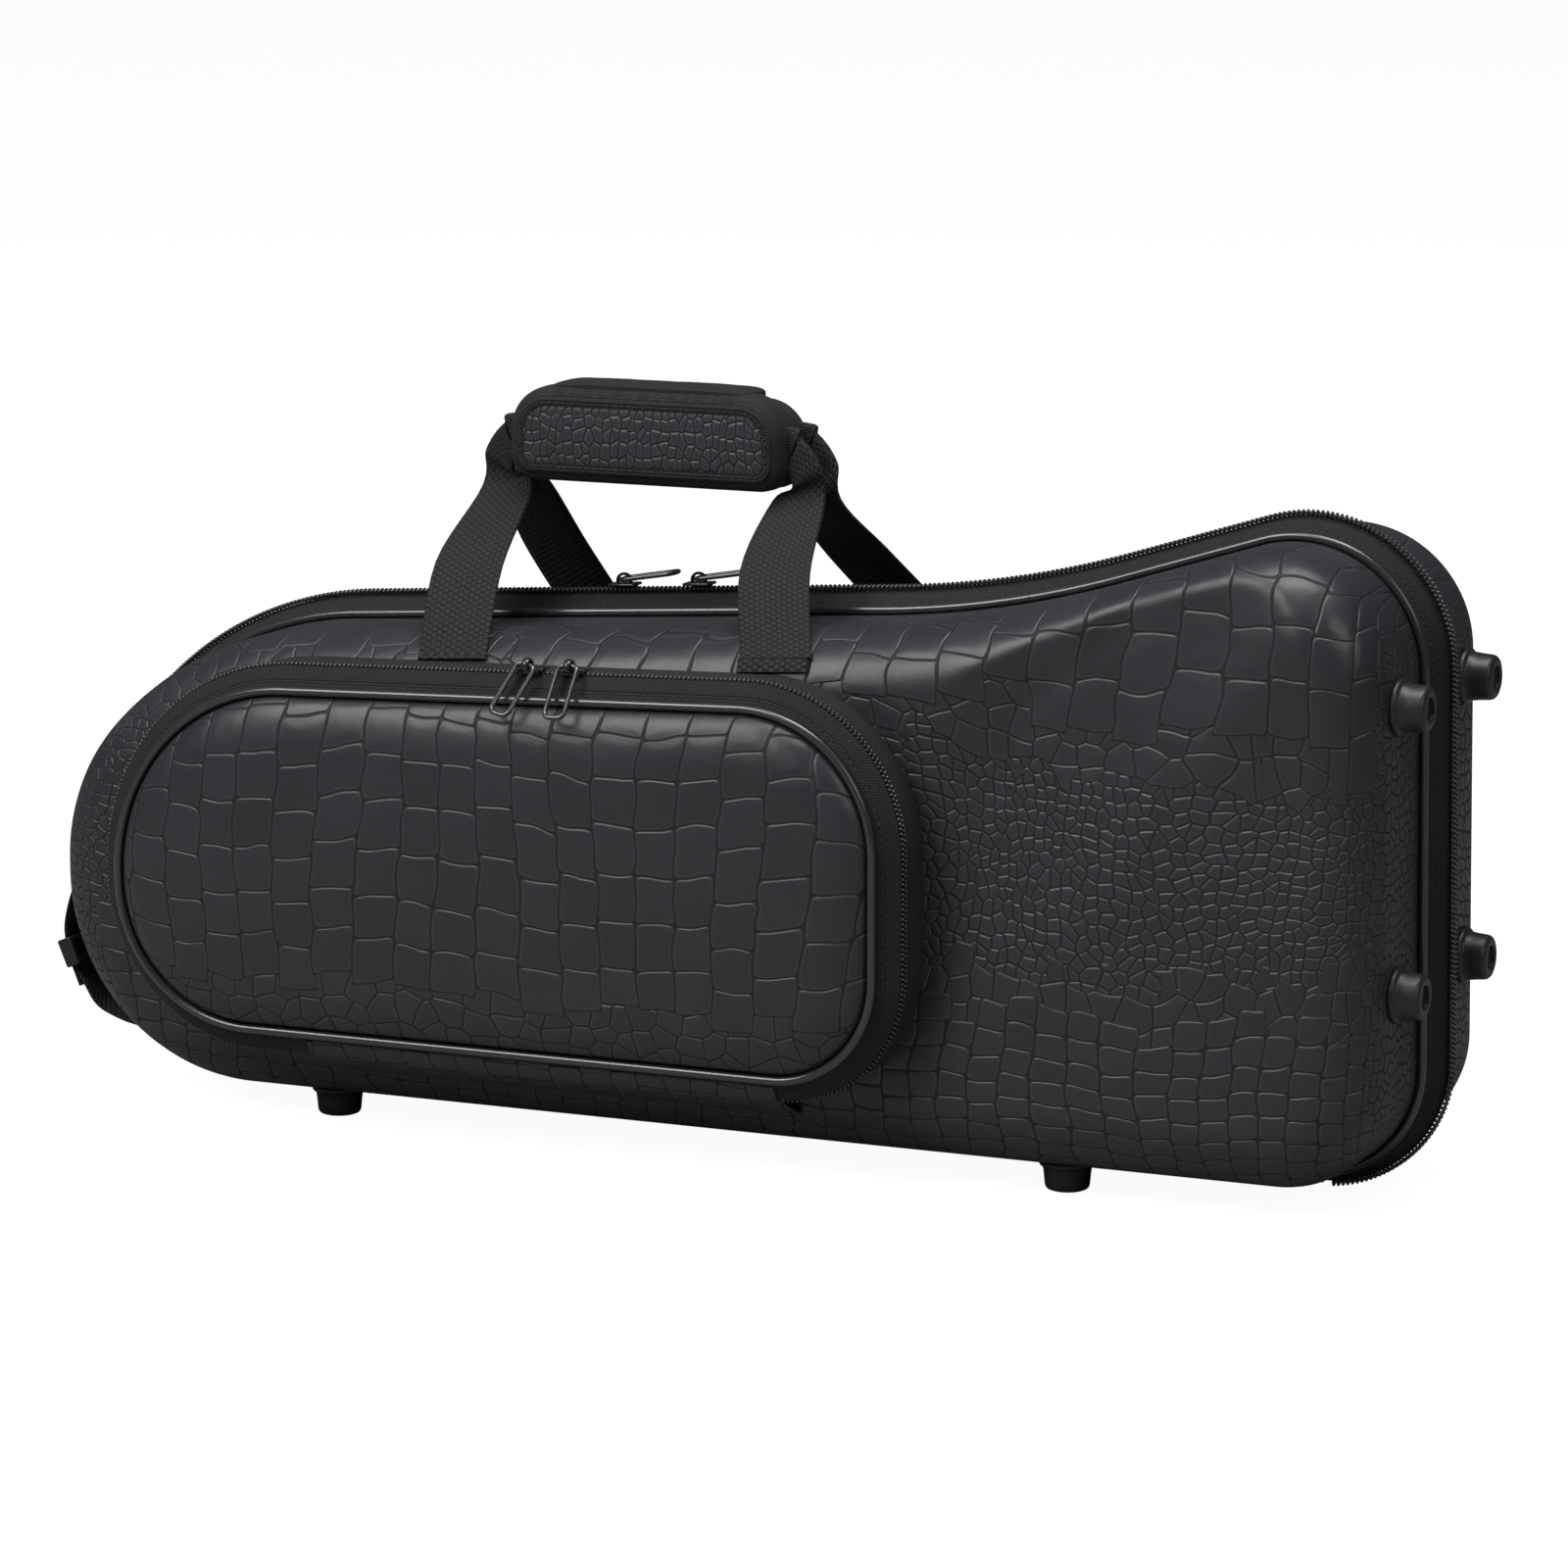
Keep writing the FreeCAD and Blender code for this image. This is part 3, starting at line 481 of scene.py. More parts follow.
@dataclass(frozen=True)
class Woven:
    """Woven tape, webbing or cover cloth, whose threads follow the strip."""

    name: str
    colour: Sequence[float]
    pick: float = 1.7
    end: float = 1.5
    roughness: float = 0.82
    depth: float = 0.35
    stitches: tuple[float, ...] = ()
    stitch_length: float = 3.2
    sheen: float = 0.03

    def material(self) -> bpy.types.Material:
        """Weave the cloth.

        Returns:
            Its material.
        """
        recipe = Recipe(self.name)
        along, across = recipe.flow()
        where = recipe.place()
        lane = (across / self.end).whole()
        thread = (along / self.pick + lane * 0.5).part().hump()
        bundle = (across / self.end).part().hump()
        weave = thread * 0.65 + bundle * 0.35
        cloud = recipe.grain(where, 22.0, 3.0)
        fuzz = recipe.grain(where, 0.7, 2.0)
        height = weave + (fuzz - 0.5) * 0.3
        level = 0.42 + weave * 0.85 + cloud * 0.25 + (fuzz - 0.5) * 0.35
        for line in self.stitches:
            beat = (along / self.stitch_length).part()
            away = abs(across - line)
            seam = beat.ramp(0.12, 0.3) * (1 - beat.ramp(0.7, 0.88)) * (1 - away.ramp(0.25, 0.55))
            height = height + seam * 1.6 - (1 - away.ramp(0.5, 1.6)) * 0.8
            level = level + seam * 0.9
        return recipe.finish(
            {
                "Base Color": recipe.shade(self.colour, level),
                "Roughness": self.roughness - weave * 0.12,
                "Normal": recipe.bump(height, self.depth),
                "Specular IOR Level": 0.25,
                "Sheen Weight": self.sheen,
                "Sheen Roughness": 0.5,
            }
        )


@dataclass(frozen=True)
class Moulded:
    """Moulded or painted stuff with a fine grain: vinyl cord, rubber, nylon, plastic or painted metal."""

    name: str
    colour: Sequence[float]
    roughness: float
    metallic: float = 0.0
    coat: float = 0.0
    grain: float = 0.6
    depth: float = 0.06

    def material(self) -> bpy.types.Material:
        """Mould the stuff.

        Returns:
            Its material.
        """
        recipe = Recipe(self.name)
        where = recipe.place()
        fine = recipe.grain(where, self.grain, 3.0)
        cloud = recipe.grain(where, 12.0, 3.0)
        return recipe.finish(
            {
                "Base Color": recipe.shade(self.colour, 0.82 + cloud * 0.36),
                "Metallic": self.metallic,
                "Roughness": self.roughness + (cloud - 0.5) * 0.14 + (fine - 0.5) * 0.08,
                "Coat Weight": self.coat,
                "Coat Roughness": 0.2,
                "Normal": recipe.bump(fine, self.depth),
            }
        )


@dataclass(frozen=True)
class Plush:
    """Short plush that covers the fitted bed."""

    name: str
    colour: Sequence[float]

    def material(self) -> bpy.types.Material:
        """Raise the pile.

        Returns:
            Its material.
        """
        recipe = Recipe(self.name)
        where = recipe.place()
        pile = recipe.grain(where, 0.8, 4.0)
        nap = recipe.grain(where, 28.0, 3.0)
        return recipe.finish(
            {
                "Base Color": recipe.shade(self.colour, 0.6 + nap * 0.55 + pile * 0.3),
                "Roughness": 0.92 - nap * 0.12,
                "Normal": recipe.bump(pile + nap * 0.4, 0.9),
                "Specular IOR Level": 0.2,
                "Sheen Weight": 0.15,
                "Sheen Roughness": 0.4,
            }
        )


@dataclass
class Outline:
    """A closed outline in the XZ plane: straight runs joined by round corners, anticlockwise."""

    corners: Sequence[tuple[float, float, float]]
    arc_step: float = 4.0
    run_step: float = 5.0
    spots: list[tuple] = field(default_factory=list)
    open_count: int = 0

    def __post_init__(self) -> None:
        """Work out the rays that every ring is measured along."""
        arcs = [self._arc(index) for index in range(len(self.corners))]
        for index, arc in enumerate(arcs):
            following = arcs[(index + 1) % len(arcs)]
            self.spots += [(ray, ray, 0.0) for ray in arc]
            self.open_count = len(self.spots)
            gap = (self._at(following[0], 0) - self._at(arc[-1], 0)).length
            count = max(1, math.ceil(gap / self.run_step))
            self.spots += [(arc[-1], following[0], step / count) for step in range(1, count)]

    def _arc(self, index: int) -> list[tuple[Vector, float, float, float]]:
        """Lay out one corner's rays.

        Args:
            index: The corner's number.

        Returns:
            The rays, each a centre, a radius, the side that it turns to, and an angle.
        """
        x, z, radius = self.corners[index]
        before, after = self.corners[index - 1], self.corners[(index + 1) % len(self.corners)]
        into = Vector((x - before[0], z - before[1])).normalized()
        away = Vector((after[0] - x, after[1] - z)).normalized()
        turn = math.atan2(into.x * away.y - into.y * away.x, into.dot(away))
        side = math.copysign(1.0, turn)
        start = Vector((x, z)) - into * (radius * math.tan(abs(turn) / 2))
        centre = start + Vector((-into.y, into.x)) * (side * radius)
        first = math.atan2(start.y - centre.y, start.x - centre.x)
        count = max(2, math.ceil(abs(turn) * radius / self.arc_step))
        return [(centre, radius, side, first + turn * step / count) for step in range(count + 1)]

    @staticmethod
    def _at(ray: tuple[Vector, float, float, float], inset: float) -> Vector:
        """Return the point on a ray, moved inwards."""
        centre, radius, side, angle = ray
        return centre + Vector((math.cos(angle), math.sin(angle))) * (radius - side * inset)

    def ring(self, inset: float, y: float) -> Row:
        """Move the outline.

        Args:
            inset: How far inwards.
            y: Its distance from the parting plane.

        Returns:
            The points of the moved outline.
        """
        points = []
        for first, second, share in self.spots:
            point = self._at(first, inset).lerp(self._at(second, inset), share)
            points.append(Vector((point.x, y, point.y)))
        return points

    def open_ring(self, inset: float, y: float, skip: int = 0) -> Row:
        """Return the ring without the run into its first corner, and without skip points at either end."""
        return self.ring(inset, y)[skip:self.open_count - skip]

    def outward(self) -> Row:
        """Return the direction away from the middle at every point."""
        near, far = self.ring(1.0, 0.0), self.ring(0.0, 0.0)
        return [(b - a).normalized() for a, b in zip(near, far)]


def rectangle(left: float, right: float, low: float, high: float, radius: float, step: float) -> Outline:
    """Return a rounded rectangle's outline."""
    corners = ((left, low), (right, low), (right, high), (left, high))
    return Outline([(x, z, radius) for x, z in corners], arc_step=step, run_step=4 * step)


def travelled(points: Sequence[Vector]) -> list[float]:
    """Measure along a run of points.

    Args:
        points: The run.

    Returns:
        How far along it each point is.
    """
    lengths = [0.0]
    for before, after in zip(points, points[1:]):
        lengths.append(lengths[-1] + (after - before).length)
    return lengths


def lay(
    rows: Sequence[Row],
    round_along: bool = False,
    round_across: bool = False,
    paint: Callable[[int], int] | None = None,
) -> bmesh.types.BMesh:
    """Lay a grid over rows of points.

    Args:
        rows: Rows of points with the same count, one row for each place across the surface.
        round_along: Whether each row closes on itself.
        round_across: Whether the last row closes on the first.
        paint: Gives the material index for each row.

    Returns:
        The mesh, with its millimetres along and across kept in metres in its map.
    """
    mesh = bmesh.new()
    count = len(rows[0])
    along = count if round_along else count - 1
    across = len(rows) if round_across else len(rows) - 1
    bmesh.ops.create_grid(mesh, x_segments=along, y_segments=across, size=1.0)
    mesh.verts.ensure_lookup_table()
    layer = mesh.loops.layers.uv.new(FLOW)
    u = travelled([rows[0][i % count] for i in range(along + 1)])
    v = travelled([rows[j % len(rows)][0] for j in range(across + 1)])
    for face in mesh.faces:
        for corner in face.loops:
            j, i = divmod(corner.vert.index, along + 1)
            corner[layer].uv = (u[i] * MM, v[j] * MM)
        if paint:
            face.material_index = paint(min(corner.vert.index for corner in face.loops) // (along + 1))
    for vert in mesh.verts:
        j, i = divmod(vert.index, along + 1)
        vert.co = rows[j % len(rows)][i % count]
    bmesh.ops.remove_doubles(mesh, verts=mesh.verts, dist=0.001)
    return mesh


def closed(mesh: bmesh.types.BMesh) -> bmesh.types.BMesh:
    """Fill a mesh's open ends and point its faces outwards.

    Args:
        mesh: The mesh.

    Returns:
        The same mesh.
    """
    edges = [edge for edge in mesh.edges if edge.is_boundary]
    if edges:
        bmesh.ops.holes_fill(mesh, edges=edges, sides=0)
    bmesh.ops.recalc_face_normals(mesh, faces=mesh.faces)
    return mesh


def joined(meshes: Iterable[bmesh.types.BMesh]) -> bmesh.types.BMesh:
    """Join meshes.

    Args:
        meshes: The meshes, which are freed.

    Returns:
        All of them as one mesh.
    """
    whole = bmesh.new()
    for mesh in meshes:
        data = bpy.data.meshes.new("part")
        mesh.to_mesh(data)
        mesh.free()
        whole.from_mesh(data)
        bpy.data.meshes.remove(data)
    return whole


def moved(mesh: bmesh.types.BMesh, matrix: Matrix) -> bmesh.types.BMesh:
    """Move, turn or mirror a mesh.

    Args:
        mesh: The mesh.
        matrix: The move.

    Returns:
        The same mesh.
    """
    bmesh.ops.transform(mesh, matrix=matrix, verts=mesh.verts)
    if matrix.determinant() < 0:
        bmesh.ops.reverse_faces(mesh, faces=mesh.faces)
    return mesh


def along_curve(values: Sequence[Vector | float], position: float) -> Vector | float:
    """Follow a smooth curve through values.

    Args:
        values: The values.
        position: The place along the curve, in values.

    Returns:
        The value there.
    """
    last = len(values) - 1
    index = min(int(position), last - 1)
    share = position - index
    before, here = values[max(index - 1, 0)], values[index]
    after, beyond = values[index + 1], values[min(index + 2, last)]
    return (
        here * 2
        + (after - before) * share
        + (before * 2 - here * 5 + after * 4 - beyond) * share**2
        + (here * 3 - before - after * 3 + beyond) * share**3
    ) * 0.5


@dataclass
class Station:
    """A place along a flat strap, with the way across the strap and the way out of it."""

    centre: Vector
    across: Vector
    outward: Vector
    width: float
    thickness: float


def ribbon(stations: Sequence[Station], steps: int = 6, sides: int = 16) -> bmesh.types.BMesh:
    """Loft a flat strap with rounded edges smoothly through stations.

    Args:
        stations: The stations.
        steps: How many steps there are from one to the next.
        sides: How many sides the strap's section has.

    Returns:
        The strap.
    """
    places = [i / steps for i in range((len(stations) - 1) * steps + 1)]
    rows: list[Row] = [[] for _ in range(sides)]
    for place in places:
        centre = along_curve([station.centre for station in stations], place)
        across = along_curve([station.across for station in stations], place).normalized()
        outward = along_curve([station.outward for station in stations], place).normalized()
        width = along_curve([station.width for station in stations], place) / 2
        thickness = along_curve([station.thickness for station in stations], place) / 2
        for side in range(sides):
            angle = 2 * math.pi * (side + 0.5) / sides
            reach = math.copysign(abs(math.cos(angle)) ** EDGE_POWERS[0], math.cos(angle)) * width
            rise = math.copysign(abs(math.sin(angle)) ** EDGE_POWERS[1], math.sin(angle)) * thickness
            rows[side].append(centre + across * reach + outward * rise)
    return closed(lay(rows, round_across=True))


def wire(
    path: Sequence[Vector],
    normal: Vector,
    radius: float,
    sides: int = 12,
    round_path: bool = True,
) -> bmesh.types.BMesh:
    """Bend a round wire along a path that lies in one plane.

    Args:
        path: The points of its centreline.
        normal: The plane's normal.
        radius: The wire's radius.
        sides: How many sides its section has.
        round_path: Whether the path closes on itself.

    Returns:
        The wire.
    """
    rows: list[Row] = [[] for _ in range(sides)]
    count = len(path)
    for index, point in enumerate(path):
        before = path[index - 1] if round_path or index else point
        after = path[(index + 1) % count] if round_path or index < count - 1 else point
        outward = (after - before).normalized().cross(normal)
        for side in range(sides):
            angle = 2 * math.pi * side / sides
            away = outward * (math.cos(angle) * radius) + normal * (math.sin(angle) * radius)
            rows[side].append(point + away)
    return closed(lay(rows, round_along=round_path, round_across=True))


def lathe(profile: Sequence[tuple[float, float]], steps: int = 36) -> bmesh.types.BMesh:
    """Turn a profile about Z.

    Args:
        profile: The profile's radii and heights.
        steps: How many steps make the turn.

    Returns:
        The turned shape.
    """
    mesh = bmesh.new()
    verts = [mesh.verts.new((radius, 0.0, height)) for radius, height in profile]
    for first, second in zip(verts, verts[1:]):
        mesh.edges.new((first, second))
    geometry = mesh.verts[:] + mesh.edges[:]
    turn = {"cent": (0, 0, 0), "axis": (0, 0, 1), "angle": 2 * math.pi}
    bmesh.ops.spin(mesh, geom=geometry, steps=steps, use_merge=True, **turn)
    bmesh.ops.remove_doubles(mesh, verts=mesh.verts, dist=0.001)
    return closed(mesh)


def block(
    size: Sequence[float],
    middle: Sequence[float],
    bevel: float,
    segments: int = 2,
) -> bmesh.types.BMesh:
    """Make a block with bevelled edges.

    Args:
        size: Its sizes.
        middle: Its middle.
        bevel: The bevel's width.
        segments: The bevel's segments.

    Returns:
        The block.
    """
    mesh = bmesh.new()
    bmesh.ops.create_cube(mesh, size=1.0)
    bmesh.ops.scale(mesh, vec=size, verts=mesh.verts)
    shape = {"offset": bevel, "segments": segments, "profile": 0.5, "affect": "EDGES", "material": -1}
    bmesh.ops.bevel(mesh, geom=mesh.edges[:], **shape)
    bmesh.ops.translate(mesh, vec=middle, verts=mesh.verts)
    return mesh


def strewn(template: bmesh.types.BMesh, matrices: Iterable[Matrix]) -> bmesh.types.BMesh:
    """Repeat a small shape at many places.

    Args:
        template: The shape, which is freed.
        matrices: The places.

    Returns:
        All the copies as one mesh.
    """
    source = bpy.data.meshes.new("template")
    template.to_mesh(source)
    template.free()
    whole = bmesh.new()
    for matrix in matrices:
        copy = source.copy()
        copy.transform(matrix)
        whole.from_mesh(copy)
        bpy.data.meshes.remove(copy)
    bpy.data.meshes.remove(source)
    return whole


class Finish(Enum):
    """The finishes, each under its own name."""

    SHELL = "embossed_shell_leather"
    POCKET = "embossed_pocket_leather"
    GRIP_PANEL = "embossed_grip_leather"
    PIPING = "piping_vinyl"
    TAPE = "zipper_tape_cloth"
    HINGE = "hinge_cloth"
    COIL = "coil_nylon"
    METAL = "slider_enamel"
    WIRE = "pull_enamel"
    WEBBING = "strap_webbing"
    COVER = "grip_cover_cloth"
    BINDING = "grip_binding_tape"
    HOOKS = "hook_and_loop_tape"
    RUBBER = "foot_rubber"
    PLASTIC = "buckle_nylon"
    PLUSH = "bed_plush"


def make_finishes() -> dict[Finish, bpy.types.Material]:
    """Make every finish once.

    Returns:
        The materials.
    """
    black = (0.028, 0.030, 0.034)
    cloth = (0.016, 0.016, 0.017)
    webbing = (0.020, 0.020, 0.020)
    recipes = {
        Finish.SHELL: Leather(Finish.SHELL.value, black),
        Finish.POCKET: Leather(
            Finish.POCKET.value,
            black,
            large=Scales(17.5, 18.5),
            large_above=70.0,
            stone_above=0.0,
            medium_below=-100.0,
            bell_drop=0.0,
            face=108.0,
            ends=(-300.0, 300.0),
            warp=5.0,
        ),
        Finish.GRIP_PANEL: Leather(
            Finish.GRIP_PANEL.value,
            black,
            pebble=3.7,
            large_above=900.0,
            stone_above=900.0,
            stone_below=-100.0,
            medium_below=-100.0,
            ends=(-400.0, 400.0),
            stretch=0.7,
            warp=2.0,
            groove=0.36,
            depth=0.45,
            # a stronger painted highlight along the pebbles' edges
            worn=0.9,
        ),
        Finish.PIPING: Moulded(
            Finish.PIPING.value, (0.030, 0.031, 0.033), 0.24, coat=0.7, grain=1.0, depth=0.04
        ),
        Finish.TAPE: Woven(Finish.TAPE.value, cloth, pick=1.3, end=1.1, stitches=(9.6,)),
        Finish.HINGE: Woven(Finish.HINGE.value, cloth, pick=1.3, end=1.1, stitches=(2.0, 15.5)),
        Finish.COIL: Moulded(
            Finish.COIL.value, (0.034, 0.034, 0.036), 0.28, coat=0.4, grain=0.8, depth=0.03
        ),
        Finish.METAL: Moulded(
            Finish.METAL.value, (0.015, 0.015, 0.016), 0.26, coat=0.5, grain=1.2, depth=0.03
        ),
        Finish.WIRE: Moulded(
            Finish.WIRE.value, (0.032, 0.032, 0.034), 0.14, coat=1.0, grain=1.5, depth=0.02
        ),
        Finish.WEBBING: Woven(Finish.WEBBING.value, webbing, pick=2.7, end=2.3, depth=0.8),
        Finish.COVER: Woven(Finish.COVER.value, (0.018, 0.018, 0.018), pick=1.5, end=1.4, depth=0.5),
        Finish.BINDING: Woven(
            Finish.BINDING.value, webbing, pick=1.4, end=1.5, depth=0.5, stitches=(3.6,)
        ),
        Finish.HOOKS: Woven(Finish.HOOKS.value, (0.013, 0.013, 0.013), pick=1.0, end=1.0, depth=0.8),
        Finish.RUBBER: Moulded(Finish.RUBBER.value, (0.020, 0.021, 0.023), 0.4, grain=0.9, depth=0.06),
        Finish.PLASTIC: Moulded(Finish.PLASTIC.value, (0.014, 0.014, 0.014), 0.35, grain=0.9, depth=0.05),
        Finish.PLUSH: Plush(Finish.PLUSH.value, (0.020, 0.022, 0.030)),
    }
    return {finish: recipe.material() for finish, recipe in recipes.items()}


@dataclass
class Workshop:
    """Turns meshes in the case's millimetres into finished objects that ride on the frame's bodies."""

    finishes: dict[Finish, bpy.types.Material]

    def place(
        self,
        name: str,
        mesh: bmesh.types.BMesh,
        finish: Finish,
        lining: Finish | None = None,
        crease: float = 40.0,
    ) -> bpy.types.Object:
        """Make one object that rides on nothing yet.

        Args:
            name: The piece's name.
            mesh: Its mesh in the case's millimetres, which is freed.
            finish: Its finish.
            lining: The finish of the faces that have the second material index.
            crease: The angle in degrees past which an edge is sharp.

        Returns:
            The object.
        """
        bmesh.ops.translate(mesh, vec=-ROW_ORIGIN, verts=mesh.verts)
        bmesh.ops.scale(mesh, vec=(MM, MM, MM), verts=mesh.verts)
        data = bpy.data.meshes.new(name)
        mesh.to_mesh(data)
        mesh.free()
        data.materials.append(self.finishes[finish])
        if lining:
            data.materials.append(self.finishes[lining])
        data.shade_smooth()
        data.set_sharp_from_angle(angle=math.radians(crease))
        piece = bpy.data.objects.new(name, data)
        bpy.context.scene.collection.objects.link(piece)
        LOG.info("%s: %d faces", name, len(data.polygons))
        return piece

    def piece(
        self,
        name: str,
        mesh: bmesh.types.BMesh,
        finish: Finish,
        body: str,
        *stands_for: str,
        lining: Finish | None = None,
        fill: float | None = None,
        crease: float = 40.0,
    ) -> None:
        """Make one object that rides on a body.

        Args:
            name: The piece's name.
            mesh: Its mesh in the case's millimetres, which is freed.
            finish: Its finish.
            body: The body that it rides on.
            stands_for: The CAD nodes that it stands for.
            lining: The finish of the faces that have the second material index.
            fill: Not used.
            crease: The angle in degrees past which an edge is sharp.
        """
        piece = self.place(name, mesh, finish, lining, crease)
        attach(piece, body)
        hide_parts(*stands_for)


def belt(outline: Outline, section: Sequence[tuple[float, float]]) -> bmesh.types.BMesh:
    """Carry a closed section of (inset, y) points round an outline."""
    return closed(lay([outline.ring(*spot) for spot in section], round_along=True, round_across=True))


def cord_section(inset: float, y: float, radius: float, sides: int = 14) -> list[tuple[float, float]]:
    """Return a round cord's section as (inset, y) points."""
    angles = [2 * math.pi * side / sides for side in range(sides)]
    return [(inset + radius * math.cos(angle), y + radius * math.sin(angle)) for angle in angles]


@dataclass
class Spine:
    """The straight line inside an outline on which the rows of a face close."""

    start: tuple[float, float]
    end: tuple[float, float]
    pitch: float

    def nearest(self, point: Vector) -> Vector:
        """Find the spot of the spine that a ring's point closes on.

        Args:
            point: The ring's point.

        Returns:
            The spot, as far from the parting plane as the point.
        """
        start, end = Vector(self.start), Vector(self.end)
        run = end - start
        count = max(1, round(run.length / self.pitch))
        share = (Vector((point.x, point.z)) - start).dot(run) / run.length_squared
        spot = start + run * (round(min(max(share, 0.0), 1.0) * count) / count)
        return Vector((spot.x, point.y, spot.y))


def cap(outline: Outline, inset: float, y: float, spine: Spine, steps: int, rise: float = 0.0) -> list[Row]:
    """Close a ring over its middle.

    Args:
        outline: The outline.
        inset: How far in the ring lies.
        y: The ring's distance from the parting plane.
        spine: The line that the rows close on.
        steps: The number of rows.
        rise: How much further out the spine lies than the ring.

    Returns:
        The rows, without the ring itself.
    """
    ring = outline.ring(inset, y)
    rows = []
    for step in range(1, steps + 1):
        share = step / steps
        lift = Vector((0.0, rise * (1 - (1 - share) ** 2), 0.0))
        rows.append([point.lerp(spine.nearest(point), share) + lift for point in ring])
    return rows


def rounded_edge(inset: float, y: float, depth: float, reach: float, steps: int) -> list[tuple[float, float]]:
    """Go round a quarter of an ellipse.

    Args:
        inset: The inset at its start.
        y: The distance from the parting plane at its start.
        depth: How much further out it ends.
        reach: How much further in it ends.
        steps: The number of steps.

    Returns:
        The (inset, y) levels.
    """
    angles = [math.pi / 2 * step / steps for step in range(steps + 1)]
    return [(inset + reach * (1 - math.cos(angle)), y + depth * math.sin(angle)) for angle in angles]


def smooth_least(first: float, second: float, rounding: float) -> float:
    """Return the smaller of two numbers, rounded where they meet."""
    near = max(rounding - abs(first - second), 0.0) / rounding
    return min(first, second) - near * near * rounding / 4


def case_slope(x: float) -> float:
    """Return the zipper ridge's height above x on its long straight run."""
    return SLOPE_TOP[1] - (SLOPE_TOP[0] - x) * math.tan(SLOPE)


def pocket_ridge(x: float) -> float:
    """Return the height of the pocket's zipper ridge above x on its straight top run."""
    return POCKET_TOP_LEFT[1] + POCKET_RIDGE + POCKET_RISE * (x - POCKET_TOP_LEFT[0])


CASE_OUTLINE = Outline(
    (
        (295.0, CASE_LOW, 52.0),
        (292.0, 285.8, 58.0),
        (*SLOPE_TOP, 420.0),
        (-227.6, 206.27, 149.0),
        (-295.0, 138.87, 92.0),
        (-295.0, CASE_LOW, TAIL_RADIUS),
    )
)
POCKET_OUTLINE = Outline(
    ((94.0, 46.0, 42.0), (*POCKET_TOP_RIGHT, 55.0), (*POCKET_TOP_LEFT, 78.0), (-236.0, 46.0, 58.0)),
    arc_step=3.0,
)


